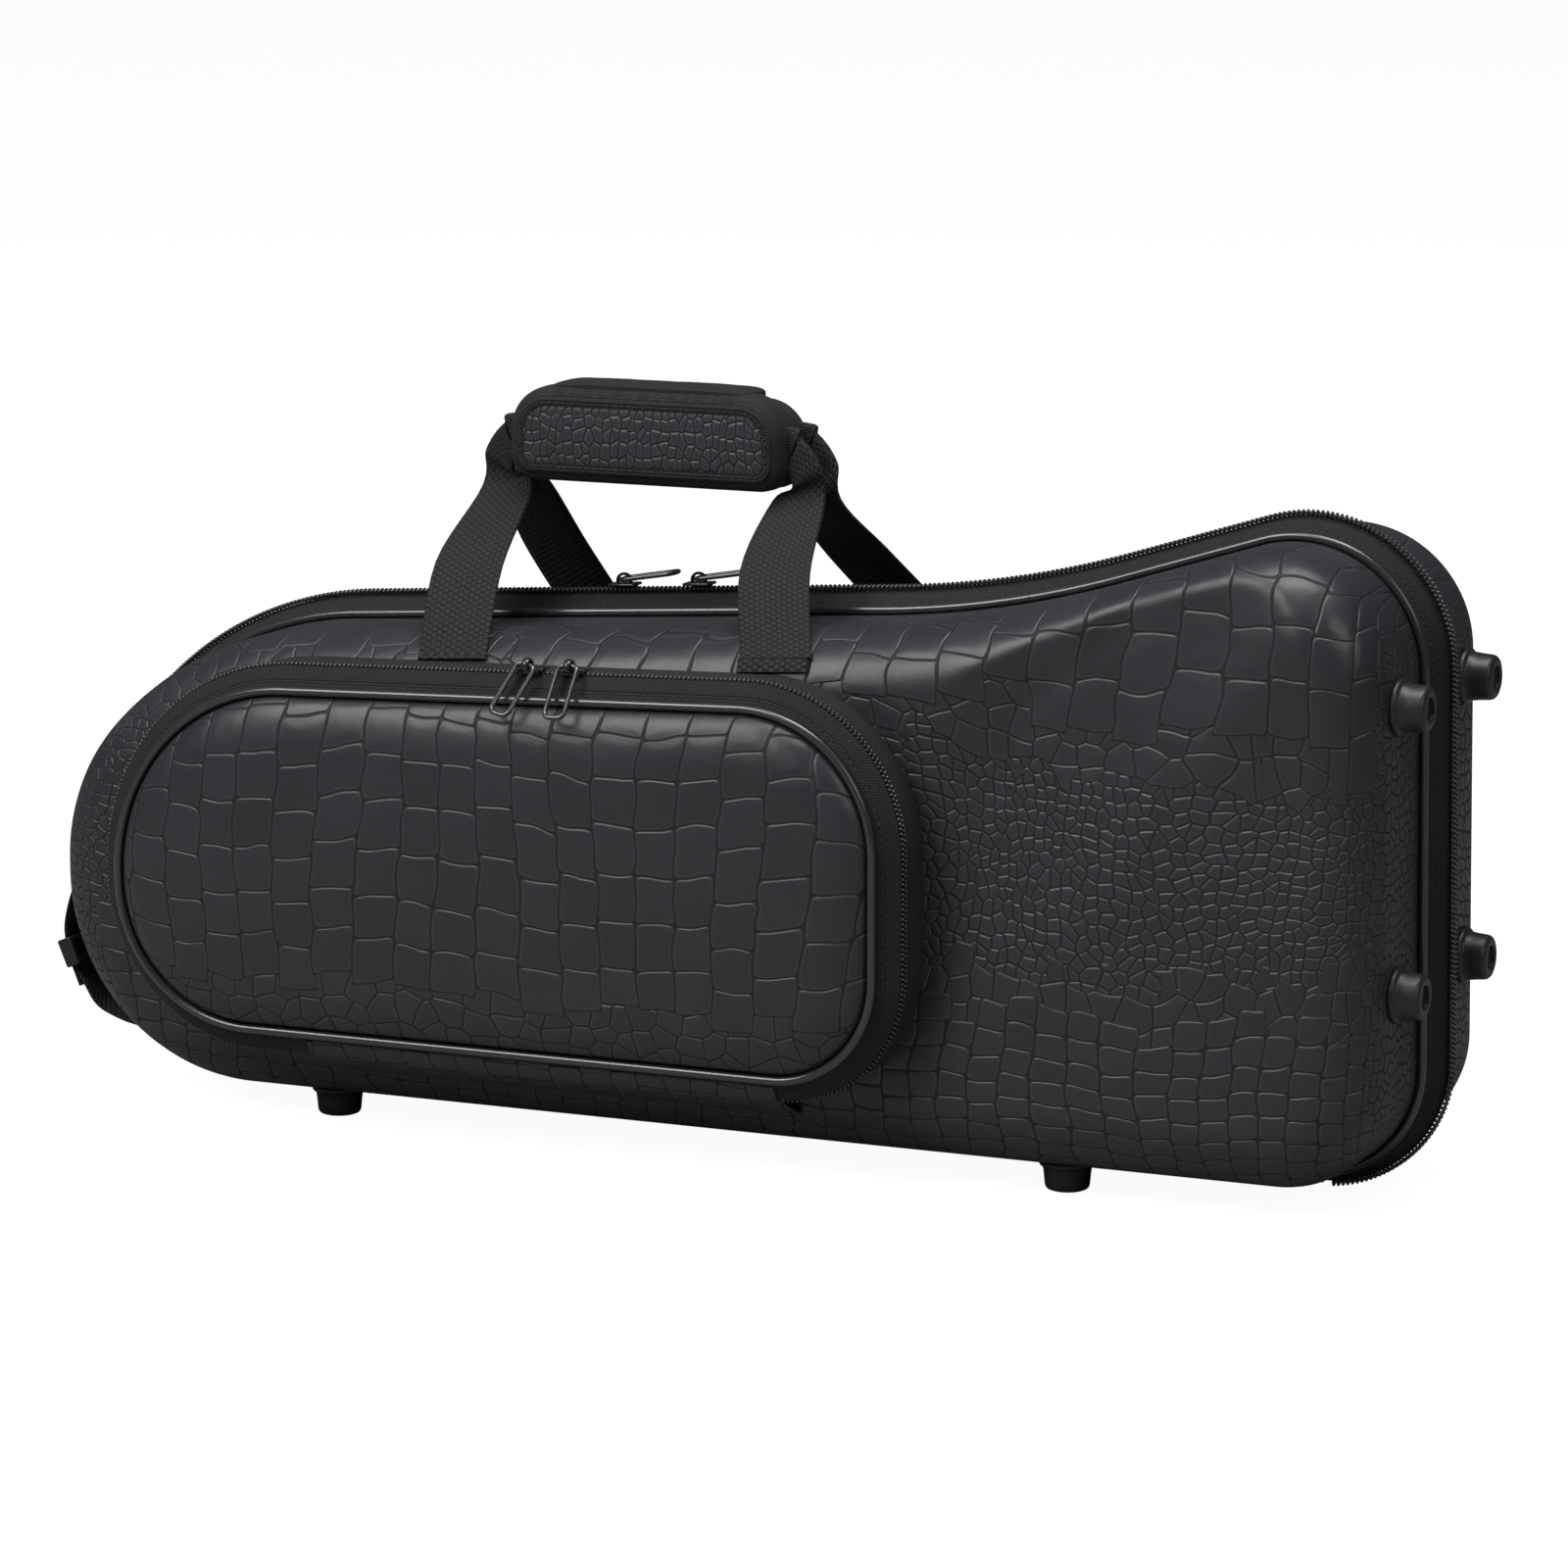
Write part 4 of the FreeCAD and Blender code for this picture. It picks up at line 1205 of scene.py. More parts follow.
@dataclass
class HalfShell:
    """A moulded half shell: leather over board, with a valley pressed into its face."""

    side: Side
    face: float = SHELL_FACE
    rim: float = 13.0
    inset: float = SHELL_INSET
    wall: float = 5.0
    edge: float = SHELL_EDGE
    lip: tuple[tuple[float, float], ...] = ((0.5, 0.0), (0.1, 2.0))
    lining_run: float = 15.0
    valley_radius: float = 190.0
    valley_top: tuple[float, float, float] = (183.0, 227.0, 8.0)
    valley_low: tuple[float, float, float] = (127.0, 125.0, 3.0)
    valley_rounding: float = 2.0
    crease: tuple[tuple[float, float], ...] = ((192, 243), (182, 227), (159, 207), (139, 191), (131, 160))
    crease_depth: float = 1.4
    crease_width: float = 6.0
    dimple: tuple[float, float, float, float] = (242.0, 164.0, 30.0, 2.6)
    dimple_height_share: float = 1.15
    wave_size: float = 55.0
    wave_depth: float = 0.5
    face_from: float = 50.0
    face_reach: float = 20.0
    spine: Spine = field(default_factory=lambda: Spine((-190.0, 98.0), (218.0, 140.0), 9.0))

    def pressed(self, point: Vector, depth: float) -> Vector:
        """Press the valley, the crease and the dimple into the form.

        Args:
            point: A point of the form.
            depth: How far it lies under the outside.

        Returns:
            The point after pressing.
        """
        x, z = point.x, point.z
        top, low = Vector(self.valley_top[:2]), Vector(self.valley_low[:2])
        run = top - low
        away = Vector((x, z)) - low
        share = away.dot(run) / run.length_squared
        aside = (away - run * share).length
        sunk = self.valley_low[2] + (self.valley_top[2] - self.valley_low[2]) * share
        radius = self.valley_radius + depth
        bed = radius if aside >= radius else radius - math.sqrt(radius**2 - aside**2)
        limit = self.face - sunk + bed - depth
        y = smooth_least(point.y, limit, self.valley_rounding)
        flat = max(0.0, min(1.0, (y - self.face_from) / self.face_reach))
        here = Vector((x, z))
        runs = zip(self.crease, self.crease[1:])
        ridge = min(self._from_run(here, Vector(start), Vector(end)) for start, end in runs)
        y -= self.crease_depth * math.exp(-((ridge / self.crease_width) ** 2)) * flat
        middle_x, middle_z, reach, dip = self.dimple
        spread = ((x - middle_x) / reach) ** 2 + ((z - middle_z) / (reach * self.dimple_height_share)) ** 2
        y -= dip * math.exp(-spread) * flat
        wave = Vector((x / self.wave_size, z / self.wave_size, self.side.value * 3.0))
        y += noise.noise(wave) * self.wave_depth * flat
        return Vector((x, y, z))

    @staticmethod
    def _from_run(point: Vector, start: Vector, end: Vector) -> float:
        """Measure how far a point is from a straight run.

        Args:
            point: The point.
            start: The run's start.
            end: The run's end.

        Returns:
            The distance.
        """
        run = end - start
        share = max(0.0, min(1.0, (point - start).dot(run) / run.length_squared))
        return (point - start - run * share).length

    def outer_rows(self) -> list[Row]:
        """Lay out the outside.

        Returns:
            Its rows, from the rim to the spine.
        """
        levels = [(self.inset + inset, self.rim + rise) for inset, rise in self.lip]
        straight = self.face - self.edge
        levels += [(self.inset, self.rim + (straight - self.rim) * step / 5) for step in range(1, 5)]
        levels += rounded_edge(self.inset, straight, self.edge, self.edge, 12)
        rows = [CASE_OUTLINE.ring(*level) for level in levels]
        rows += cap(CASE_OUTLINE, self.inset + self.edge, self.face, self.spine, 24)
        return [[self.pressed(point, 0.0) for point in row] for row in rows]

    def inner_rows(self) -> list[Row]:
        """Lay out the lining.

        Returns:
            Its rows, from the spine to the rim.
        """
        inset, face, edge = self.inset + self.wall, self.face - self.wall, self.edge - self.wall
        levels = [(inset, self.rim), (inset, self.rim + self.lining_run)]
        levels += rounded_edge(inset, face - edge, edge, edge, 5)
        rows = [CASE_OUTLINE.ring(*level) for level in levels]
        rows += cap(CASE_OUTLINE, inset + edge, face, self.spine, 10)
        return [[self.pressed(point, self.wall) for point in row] for row in reversed(rows)]

    def build(self, shop: Workshop) -> None:
        """Build the shell.

        Args:
            shop: The workshop that makes its pieces.
        """
        outer = self.outer_rows()[::-1]
        inner = self.inner_rows()[::-1]
        mesh = closed(lay(outer + inner, round_along=True, paint=lambda row: 0 if row < len(outer) else 1))
        name, node = f"{self.side.label}_shell_cover", f"{self.side.label}_shell"
        cover = half(mesh, self.side)
        shop.piece(name, cover, Finish.SHELL, self.side.body, node, lining=Finish.PLUSH, crease=60.0)


def half(mesh: bmesh.types.BMesh, side: Side) -> bmesh.types.BMesh:
    """Return a mesh made for the back half on its own side."""
    return mesh if side is Side.BACK else moved(mesh, Matrix.Diagonal((1.0, -1.0, 1.0, 1.0)))


def walk(points: Row, outward: Row, pitch: float, first: float) -> list[tuple[Vector, Vector, Vector]]:
    """Find places at an even pitch along a run of points.

    Args:
        points: The run.
        outward: The way out at each of its points.
        pitch: The distance from place to place.
        first: The distance to the first place.

    Returns:
        The places, each with its direction and its way out.
    """
    places = []
    travel, due = 0.0, first
    for i in range(len(points) - 1):
        step = points[i + 1] - points[i]
        length = step.length
        while due <= travel + length:
            share = (due - travel) / length
            places.append((points[i] + step * share, step / length, outward[i].lerp(outward[i + 1], share)))
            due += pitch
        travel += length
    return places


def coil(line: Row, out: Row, first: float, size: Sequence[float], slant: float) -> bmesh.types.BMesh:
    """Set a bevelled tooth at each pitch of a zipper.

    Args:
        line: The line that the teeth stand on.
        out: The way out at each of its points.
        first: The distance to the first tooth.
        size: A tooth's size along, across and out.
        slant: The angle in degrees by which it is slanted.

    Returns:
        The row of teeth.
    """
    matrices = []
    for point, along, way in walk(line, out, TOOTH_PITCH, first):
        way = (way - along * way.dot(along)).normalized()
        frame = Matrix((along, way.cross(along), way)).transposed().to_4x4()
        matrices.append(Matrix.Translation(point) @ frame @ Matrix.Rotation(math.radians(slant), 4, "Z"))
    return strewn(block(size, (0, 0, 0), min(size) * 0.36, 1), matrices)


@dataclass
class ZipEdge:
    """One half's edge: piping, padded band with its zipper tape, and a row of coil."""

    side: Side
    cord: tuple[float, float, float] = (7.25, 14.75, CORD_RADIUS)
    band: tuple[tuple[float, float], ...] = (
        (0.8, 0.15), (1.5, 1.2), (2.2, 2.7), (4.1, 5.6), (6.2, 8.8), (8.0, 11.9), (8.7, 13.0), (14.0, 13.0),
        (14.0, 10.5), (7.5, 0.15),
    )
    tooth: tuple[float, float, float] = (1.2, 2.9, 1.7)
    tooth_line: tuple[float, float] = (-0.1, 1.6)

    def build(self, shop: Workshop) -> None:
        """Build the edge's pieces.

        Args:
            shop: The workshop that makes its pieces.
        """
        label, body = self.side.label, self.side.body
        cord = half(belt(CASE_OUTLINE, cord_section(*self.cord)), self.side)
        shop.piece(f"{label}_piping_cord", cord, Finish.PIPING, body, f"{label}_piping")
        band = half(belt(CASE_OUTLINE, self.band), self.side)
        shop.piece(f"{label}_band_cover", band, Finish.TAPE, body, f"{label}_edge_band", f"{label}_zip_tape")
        ridge, out = CASE_OUTLINE.open_ring(*self.tooth_line, 1), CASE_OUTLINE.outward()[1:]
        first = TOOTH_START if self.side is Side.BACK else TOOTH_START + TOOTH_PITCH / 2
        teeth = half(coil(ridge, out, first, self.tooth, TOOTH_SLANT), self.side)
        shop.piece(f"{label}_coil_row", teeth, Finish.COIL, body, f"{label}_zip_teeth")


@dataclass
class ClothHinge:
    """The cloth hinge along the bottom edge, one strip over both halves."""

    ends: tuple[float, float] = (-202.0, 243.0)
    lower: tuple[tuple[float, float], ...] = (
        (-8.0, 7.07), (-5.5, 5.6), (-3.0, 4.1), (-1.2, 2.9), (-0.5, 2.4), (0.0, 2.3),
    )
    thickness: float = 0.9
    bend: float = 0.6
    steps: int = 60

    def build(self, shop: Workshop) -> None:
        """Build the strip, which lies over both halves and rides on neither.

        Args:
            shop: The workshop that makes its pieces.
        """
        spots = [*self.lower, *((-y, z) for y, z in reversed(self.lower[:-1]))]
        section = spots + [(y, z + self.thickness) for y, z in reversed(spots)]
        left, right = self.ends
        places = [left + (right - left) * i / self.steps for i in range(self.steps + 1)]
        rows = [[Vector((x, y, z)) for x in places] for y, z in section]
        strip = shop.place("hinge_cloth", closed(lay(rows, round_across=True)), Finish.HINGE, crease=60.0)
        Side.BACK.body
        Side.FRONT.body
        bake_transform(strip)
        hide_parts("back_hinge_tape", "front_hinge_tape")


@dataclass
class Feet:
    """The moulded rubber feet of one half, under it and on its bell end."""

    side: Side
    flange: tuple[tuple[float, float], ...] = (
        (0.0, 0.0), (11.0, 0.0), (11.15, 0.5), (11.05, 1.3), (10.6, 1.85), (9.95, 2.15),
    )
    radius: float = 9.6
    stem: float = 2.7
    taper: float = 0.4
    tip: tuple[tuple[float, float], ...] = ((8.85, 2.0), (8.6, 1.1), (7.9, 0.35), (7.0, 0.0))
    recess: tuple[tuple[float, float], ...] = ((5.1, 0.0), (4.7, 0.25), (4.55, 1.6), (0.0, 1.6))
    offset: float = 40.7
    bottom: tuple[float, float] = (-168.0, 152.0)
    bottom_height: float = 11.5
    end_heights: tuple[float, float] = (88.6, 199.0)
    end_x: float = 286.0
    end_lean: float = 3.0 / 283.3
    end_lift: float = 0.12
    tip_x: float = 296.5

    def foot(self, height: float, recess: bool) -> bmesh.types.BMesh:
        """Turn one foot, from its seat to its tip.

        Args:
            height: Its height.
            recess: Whether it has a recess in its tip.

        Returns:
            The foot, standing on its seat.
        """
        spots = [*self.flange, (self.radius, self.stem), (self.radius - self.taper, height * 0.5)]
        spots += [(radius, height - drop) for radius, drop in self.tip]
        spots += [(radius, height - drop) for radius, drop in self.recess] if recess else [(0.0, height)]
        return lathe(spots)

    def build(self, shop: Workshop) -> None:
        """Build both groups of feet.

        Args:
            shop: The workshop that makes its pieces.
        """
        under, ends = [], []
        for x in self.bottom:
            seat = Matrix.Translation((x, self.offset, self.bottom_height)) @ Matrix.Rotation(math.pi, 4, "X")
            under.append(moved(self.foot(self.bottom_height, False), seat))
        for z in self.end_heights:
            seat_x = self.end_x - self.end_lean * (z - CASE_LOW) + self.end_lift
            seat = Matrix.Translation((seat_x, self.offset, z)) @ Matrix.Rotation(math.pi / 2, 4, "Y")
            ends.append(moved(self.foot(self.tip_x - seat_x, True), seat))
        for place, feet in (("bottom", under), ("end", ends)):
            name, node = f"{self.side.label}_{place}_rubbers", f"{self.side.label}_{place}_feet"
            shop.piece(name, half(joined(feet), self.side), Finish.RUBBER, self.side.body, node, crease=35.0)


@dataclass
class HandleStrap:
    """One webbing strap: two legs sewn to the shell, and the stretch inside the grip."""

    side: Side
    width: float = 30.0
    thickness: float = 1.8
    gap: float = 0.3
    leave: float = 46.0
    bow: float = 2.5
    bow_back: float = 4.3
    base_shifts: tuple[float, float] = (1.0, 21.0)
    core_width: float = 15.0
    core_thickness: float = 4.0
    core_y: float = 8.0
    core_z: float = 281.0
    entry: tuple[tuple[float, float, float], ...] = ((7.5, 12.75, 35.0), (1.8, 4.0, 62.0), (-7.5, 0.0, 90.0))

    def leg(self, base_x: float, end_x: float, turn: int) -> list[Station]:
        """Lead one leg from its foot up into the end of the grip.

        Args:
            base_x: The X of its foot.
            end_x: The X of the grip's end.
            turn: 1 for the left leg and -1 for the right one.

        Returns:
            Its stations.
        """
        radius = SHELL_EDGE + self.gap + self.thickness / 2
        level = Vector((math.cos(SLOPE), 0.0, math.sin(SLOPE)))
        upright = Vector((-math.sin(SLOPE), 0.0, math.cos(SLOPE)))
        arc_z = case_slope(base_x) - (SHELL_INSET + SHELL_EDGE) / math.cos(SLOPE)
        centre = Vector((base_x, SHELL_FACE - SHELL_EDGE, arc_z))
        start = math.acos((pocket_ridge(base_x + self.width / 2) + self.gap - arc_z) / radius)
        stations = []
        for step in range(4):
            angle = start + (math.radians(self.leave) - start) * step / 3
            outward = Vector((0.0, math.sin(angle), 0.0)) + upright * math.cos(angle)
            place = centre + outward * radius
            stations.append(Station(place, level * turn, outward, self.width, self.thickness))
        lift, lean = stations[-1].centre, stations[-1].outward
        neck = Vector((end_x - turn * self.core_thickness, self.core_y, GRIP_LOW - self.core_thickness))
        middle = (lift + neck) / 2 + lean * self.bow - Vector((self.bow_back, 0.0, 0.0))
        across = Vector((float(turn), 0.0, 0.0))
        stations.append(Station(middle, across, lean, self.width, self.thickness))
        width, thickness = (self.width + self.core_width) / 2, (self.thickness + self.core_thickness) / 2
        stations.append(Station(neck, across, lean, width, thickness))
        for back, drop, degrees in self.entry:
            angle = math.radians(degrees)
            place = Vector((end_x - turn * back, self.core_y, self.core_z - drop))
            across = Vector((turn * math.cos(angle), 0.0, -math.sin(angle)))
            stations.append(Station(place, across, Vector((0, 1, 0)), self.core_width, self.core_thickness))
        return stations

    def build(self, shop: Workshop) -> None:
        """Build the strap.

        Args:
            shop: The workshop that makes its pieces.
        """
        left = self.leg(GRIP_LEFT + self.base_shifts[0], GRIP_LEFT, 1)
        right = self.leg(GRIP_RIGHT + self.base_shifts[1], GRIP_RIGHT, -1)
        name, node = f"{self.side.label}_handle_webbing", f"{self.side.label}_handle_strap"
        shop.piece(name, half(ribbon(left + right[::-1]), self.side), Finish.WEBBING, self.side.body, node)


@dataclass
class Grip:
    """A padded grip on one strap."""

    side: Side
    top: float
    depth: float
    near: float = 0.3
    low_round: float = 11.0
    top_round: float = 18.0
    edge: float = 5.5
    back: tuple[tuple[float, float], ...] = ((1.6, 0.0), (0.5, 0.5), (0.0, 1.8))
    swell: float = 0.2

    def outline(self) -> Outline:
        """Trace the grip.

        Returns:
            Its outline seen from the front.
        """
        corners = (
            (GRIP_LEFT, GRIP_LOW, self.low_round),
            (GRIP_RIGHT, GRIP_LOW, self.low_round),
            (GRIP_RIGHT, self.top, self.top_round),
            (GRIP_LEFT, self.top, self.top_round),
        )
        return Outline(corners, arc_step=1.6, run_step=2.5)

    def spine(self, margin: float) -> Spine:
        """Return the spine of the grip's face, margin short of its ends."""
        middle = (GRIP_LOW + self.top) / 2
        return Spine((GRIP_LEFT + margin, middle), (GRIP_RIGHT - margin, middle), 4.0)

    def build(self, shop: Workshop) -> None:
        """Build the pad.

        Args:
            shop: The workshop that makes its pieces.
        """
        outline, spine = self.outline(), self.spine(19.0)
        far = self.near + self.depth
        levels = [(inset, self.near + rise) for inset, rise in self.back]
        levels += [(-self.swell, self.near + (self.depth - self.edge) / 2)]
        levels += rounded_edge(0.0, far - self.edge, self.edge, self.edge, 6)
        rows = cap(outline, self.back[0][0], self.near, spine, 5)[::-1]
        rows += [outline.ring(*level) for level in levels]
        rows += cap(outline, self.edge, far, spine, 6)
        label = "rear" if self.side is Side.BACK else "front"
        pad = half(closed(lay(rows, round_along=True)), self.side)
        shop.piece(f"{label}_grip_cushion", pad, Finish.COVER, self.side.body, f"{label}_grip_pad", fill=0.8)


@dataclass
class GripFace:
    """The binding and the embossed panel on the front grip, with the flap and its tape over the top."""

    grip: Grip
    inset: float = 3.6
    width: float = 4.0
    flap_middle: float = -41.0
    flap_length: float = 88.0
    flap_z: float = 300.4
    flap_thickness: float = 1.9
    flap_y: float = -1.3
    flap_droop: tuple[tuple[float, float], ...] = (
        (-13.2, -1.3), (-12.6, -0.8), (-9.5, -0.25), (-4.0, -0.1), (2.0, -0.1), (7.0, -0.3), (9.8, -0.7),
        (10.5, -1.1),
    )
    end_droop: float = 1.3
    thin_share: float = 0.25
    ripple: float = 0.2
    patch_length: float = 78.0
    patch_width: float = 8.7
    patch_y: float = 4.95
    loop_z: tuple[float, float] = (297.0, 298.2)
    hook_z: tuple[float, float] = (298.5, 300.3)

    def build(self, shop: Workshop) -> None:
        """Build the binding, the panel, the flap and the two tapes.

        Args:
            shop: The workshop that makes its pieces.
        """
        outline, spine = self.grip.outline(), self.grip.spine(24.0)
        face = self.grip.near + self.grip.depth
        low, high = self.inset, self.inset + self.width
        section = [(low, face - 0.8), (low + 0.1, face + 0.1), (low + 1.1, face + 0.8)]
        section += [(high - 1.3, face + 1.1), (high - 0.2, face + 0.7), (high, face - 0.6)]
        binding = half(belt(outline, section), Side.FRONT)
        shop.piece("grip_binding_tape", binding, Finish.BINDING, "lid", "grip_binding", crease=60.0)
        rows = [outline.ring(high - 0.4, face - 0.2), outline.ring(high - 0.3, face + 0.3)]
        rows += [outline.ring(high + 0.6, face + 0.6)] + cap(outline, high + 0.6, face + 0.6, spine, 8, 0.5)
        back = cap(outline, high - 0.4, face - 0.2, spine, 3)[::-1]
        panel = half(closed(lay(back + rows, round_along=True)), Side.FRONT)
        shop.piece("grip_panel_leather", panel, Finish.GRIP_PANEL, "lid", "grip_panel")
        shop.piece("grip_flap_cloth", self.flap(), Finish.COVER, "grip_closure", "grip_flap")
        patches = (("grip_loop_patch", "back", self.loop_z), ("grip_hook_patch", "grip_closure", self.hook_z))
        for name, body, (low_z, high_z) in patches:
            middle = (self.flap_middle, self.patch_y, (low_z + high_z) / 2)
            tape = block((self.patch_length, self.patch_width, high_z - low_z), middle, 0.3)
            shop.piece(f"{name}_tape", tape, Finish.HOOKS, body, name)

    def flap(self) -> bmesh.types.BMesh:
        """Cut the flap, which lies over the tops of both grips and droops at its edges.

        Returns:
            The flap.
        """
        rows: list[Row] = []
        count = 60
        for thickness, spots in ((0.0, self.flap_droop), (self.flap_thickness, self.flap_droop[::-1])):
            for y, droop in spots:
                row = []
                for step in range(count + 1):
                    share = math.sin(math.pi * (step / count - 0.5))
                    taper = (1.0 - min(abs(share), 0.999) ** 9) ** (1 / 5)
                    lift = self.ripple * noise.noise(Vector((share * 5.0, y / 9.0, 2.0)))
                    thick = thickness * (self.thin_share + (1 - self.thin_share) * taper)
                    rise = droop + lift + thick - self.end_droop * abs(share) ** 8
                    x = self.flap_middle + self.flap_length / 2 * share
                    row.append(Vector((x, self.flap_y + (y - self.flap_y) * taper, self.flap_z + rise)))
                rows.append(row)
        return closed(lay(rows, round_across=True))


@dataclass
class TailStrap:
    """The webbing on the tail end: a patch sewn flat, a loop that stands off it, its buckle and free end."""

    reach: float = 84.0
    front_y: float = -45.5
    seat: float = 3.0
    thickness: float = 1.6
    backing: tuple[float, float, float, float] = (1.1, 186.0, 46.0, 27.0)
    angles: tuple[float, ...] = (186.0, 190.5, 196.0, 200.0, 203.0, 206.0, 212.0, 218.0, 224.5, 229.0, 232.0)
    stands: tuple[float, ...] = (0.0, 3.9, 8.2, 9.9, 9.7, 10.0, 10.2, 10.0, 4.9, 0.8, 0.0)
    widths: tuple[float, ...] = (27.0, 22.0, 16.0, 14.0, 14.0, 14.0, 17.0, 22.0, 26.0, 27.0, 27.0)
    tab: tuple[tuple[float, float, float], ...] = (
        (11.4, 204.6, 13.0), (11.8, 208.0, 13.0), (12.6, 211.5, 13.0),
    )
    buckle_place: tuple[float, float, float] = (9.4, 203.0, 14.0)
    half_opening: float = 7.3
    half_height: float = 6.0
    rail: float = 2.4
    bar: float = 2.2

    def spot(self, reach: float, degrees: float, width: float) -> Vector:
        """Find the middle of a band at an angle round the tail's low corner.

        Args:
            reach: How far the band stands off the shell.
            degrees: The angle.
            width: The band's width.

        Returns:
            The spot.
        """
        angle = math.radians(degrees)
        radius = self.reach + reach
        x, z = TAIL_CENTRE
        return Vector((x + radius * math.cos(angle), self.front_y + width / 2, z + radius * math.sin(angle)))

    def band(self, places: Sequence[tuple[float, float, float]]) -> bmesh.types.BMesh:
        """Lead a band of webbing through places.

        Args:
            places: The places, each a reach, an angle and a width.

        Returns:
            The band.
        """
        points = [self.spot(*place) for place in places]
        stations = []
        for i, point in enumerate(points):
            along = (points[min(i + 1, len(points) - 1)] - points[max(i - 1, 0)]).normalized()
            outward = Vector((along.z, 0.0, -along.x))
            stations.append(Station(point, Vector((0, 1, 0)), outward, places[i][2], self.thickness))
        return ribbon(stations, steps=4)

    def build(self, shop: Workshop) -> None:
        """Build the four pieces.

        Args:
            shop: The workshop that makes its pieces.
        """
        stand, first, sweep, width = self.backing
        backing = [(stand, first + sweep * step / 8, width) for step in range(9)]
        loop = [(self.seat + stand, *place) for stand, *place in zip(self.stands, self.angles, self.widths)]
        tab = [(self.seat + stand, *place) for stand, *place in self.tab]
        for node, places in (("end_strap_backing", backing), ("end_strap", loop), ("end_strap_tab", tab)):
            shop.piece(f"{node}_webbing", self.band(places), Finish.WEBBING, "lid", node)
        shop.piece("end_strap_buckle_frame", self.buckle(), Finish.PLASTIC, "lid", "end_strap_buckle")

    def buckle(self) -> bmesh.types.BMesh:
        """Mould the slide buckle: two rails, a bar behind the webbing at each end and one before it.

        Returns:
            The buckle.
        """
        near = self.thickness / 2 + 0.3
        depth = near + self.bar
        rail = (2 * depth, self.rail, 2 * self.half_height)
        bar = (self.bar, 2 * self.half_opening + 0.6, self.rail)
        parts = [block(rail, (0, sign * (self.half_opening + self.rail / 2), 0), 0.7) for sign in (-1, 1)]
        height = self.half_height - self.rail / 2
        parts += [block(bar, ((near + depth) / 2, 0, sign * height), 0.6) for sign in (-1, 1)]
        parts.append(block(bar, (-(near + depth) / 2, 0, 0), 0.6))
        stand, angle, width = self.buckle_place
        turn = Matrix.Rotation(math.radians(180.0 - angle), 4, "Y")
        return moved(joined(parts), Matrix.Translation(self.spot(self.seat + stand, angle, width)) @ turn)


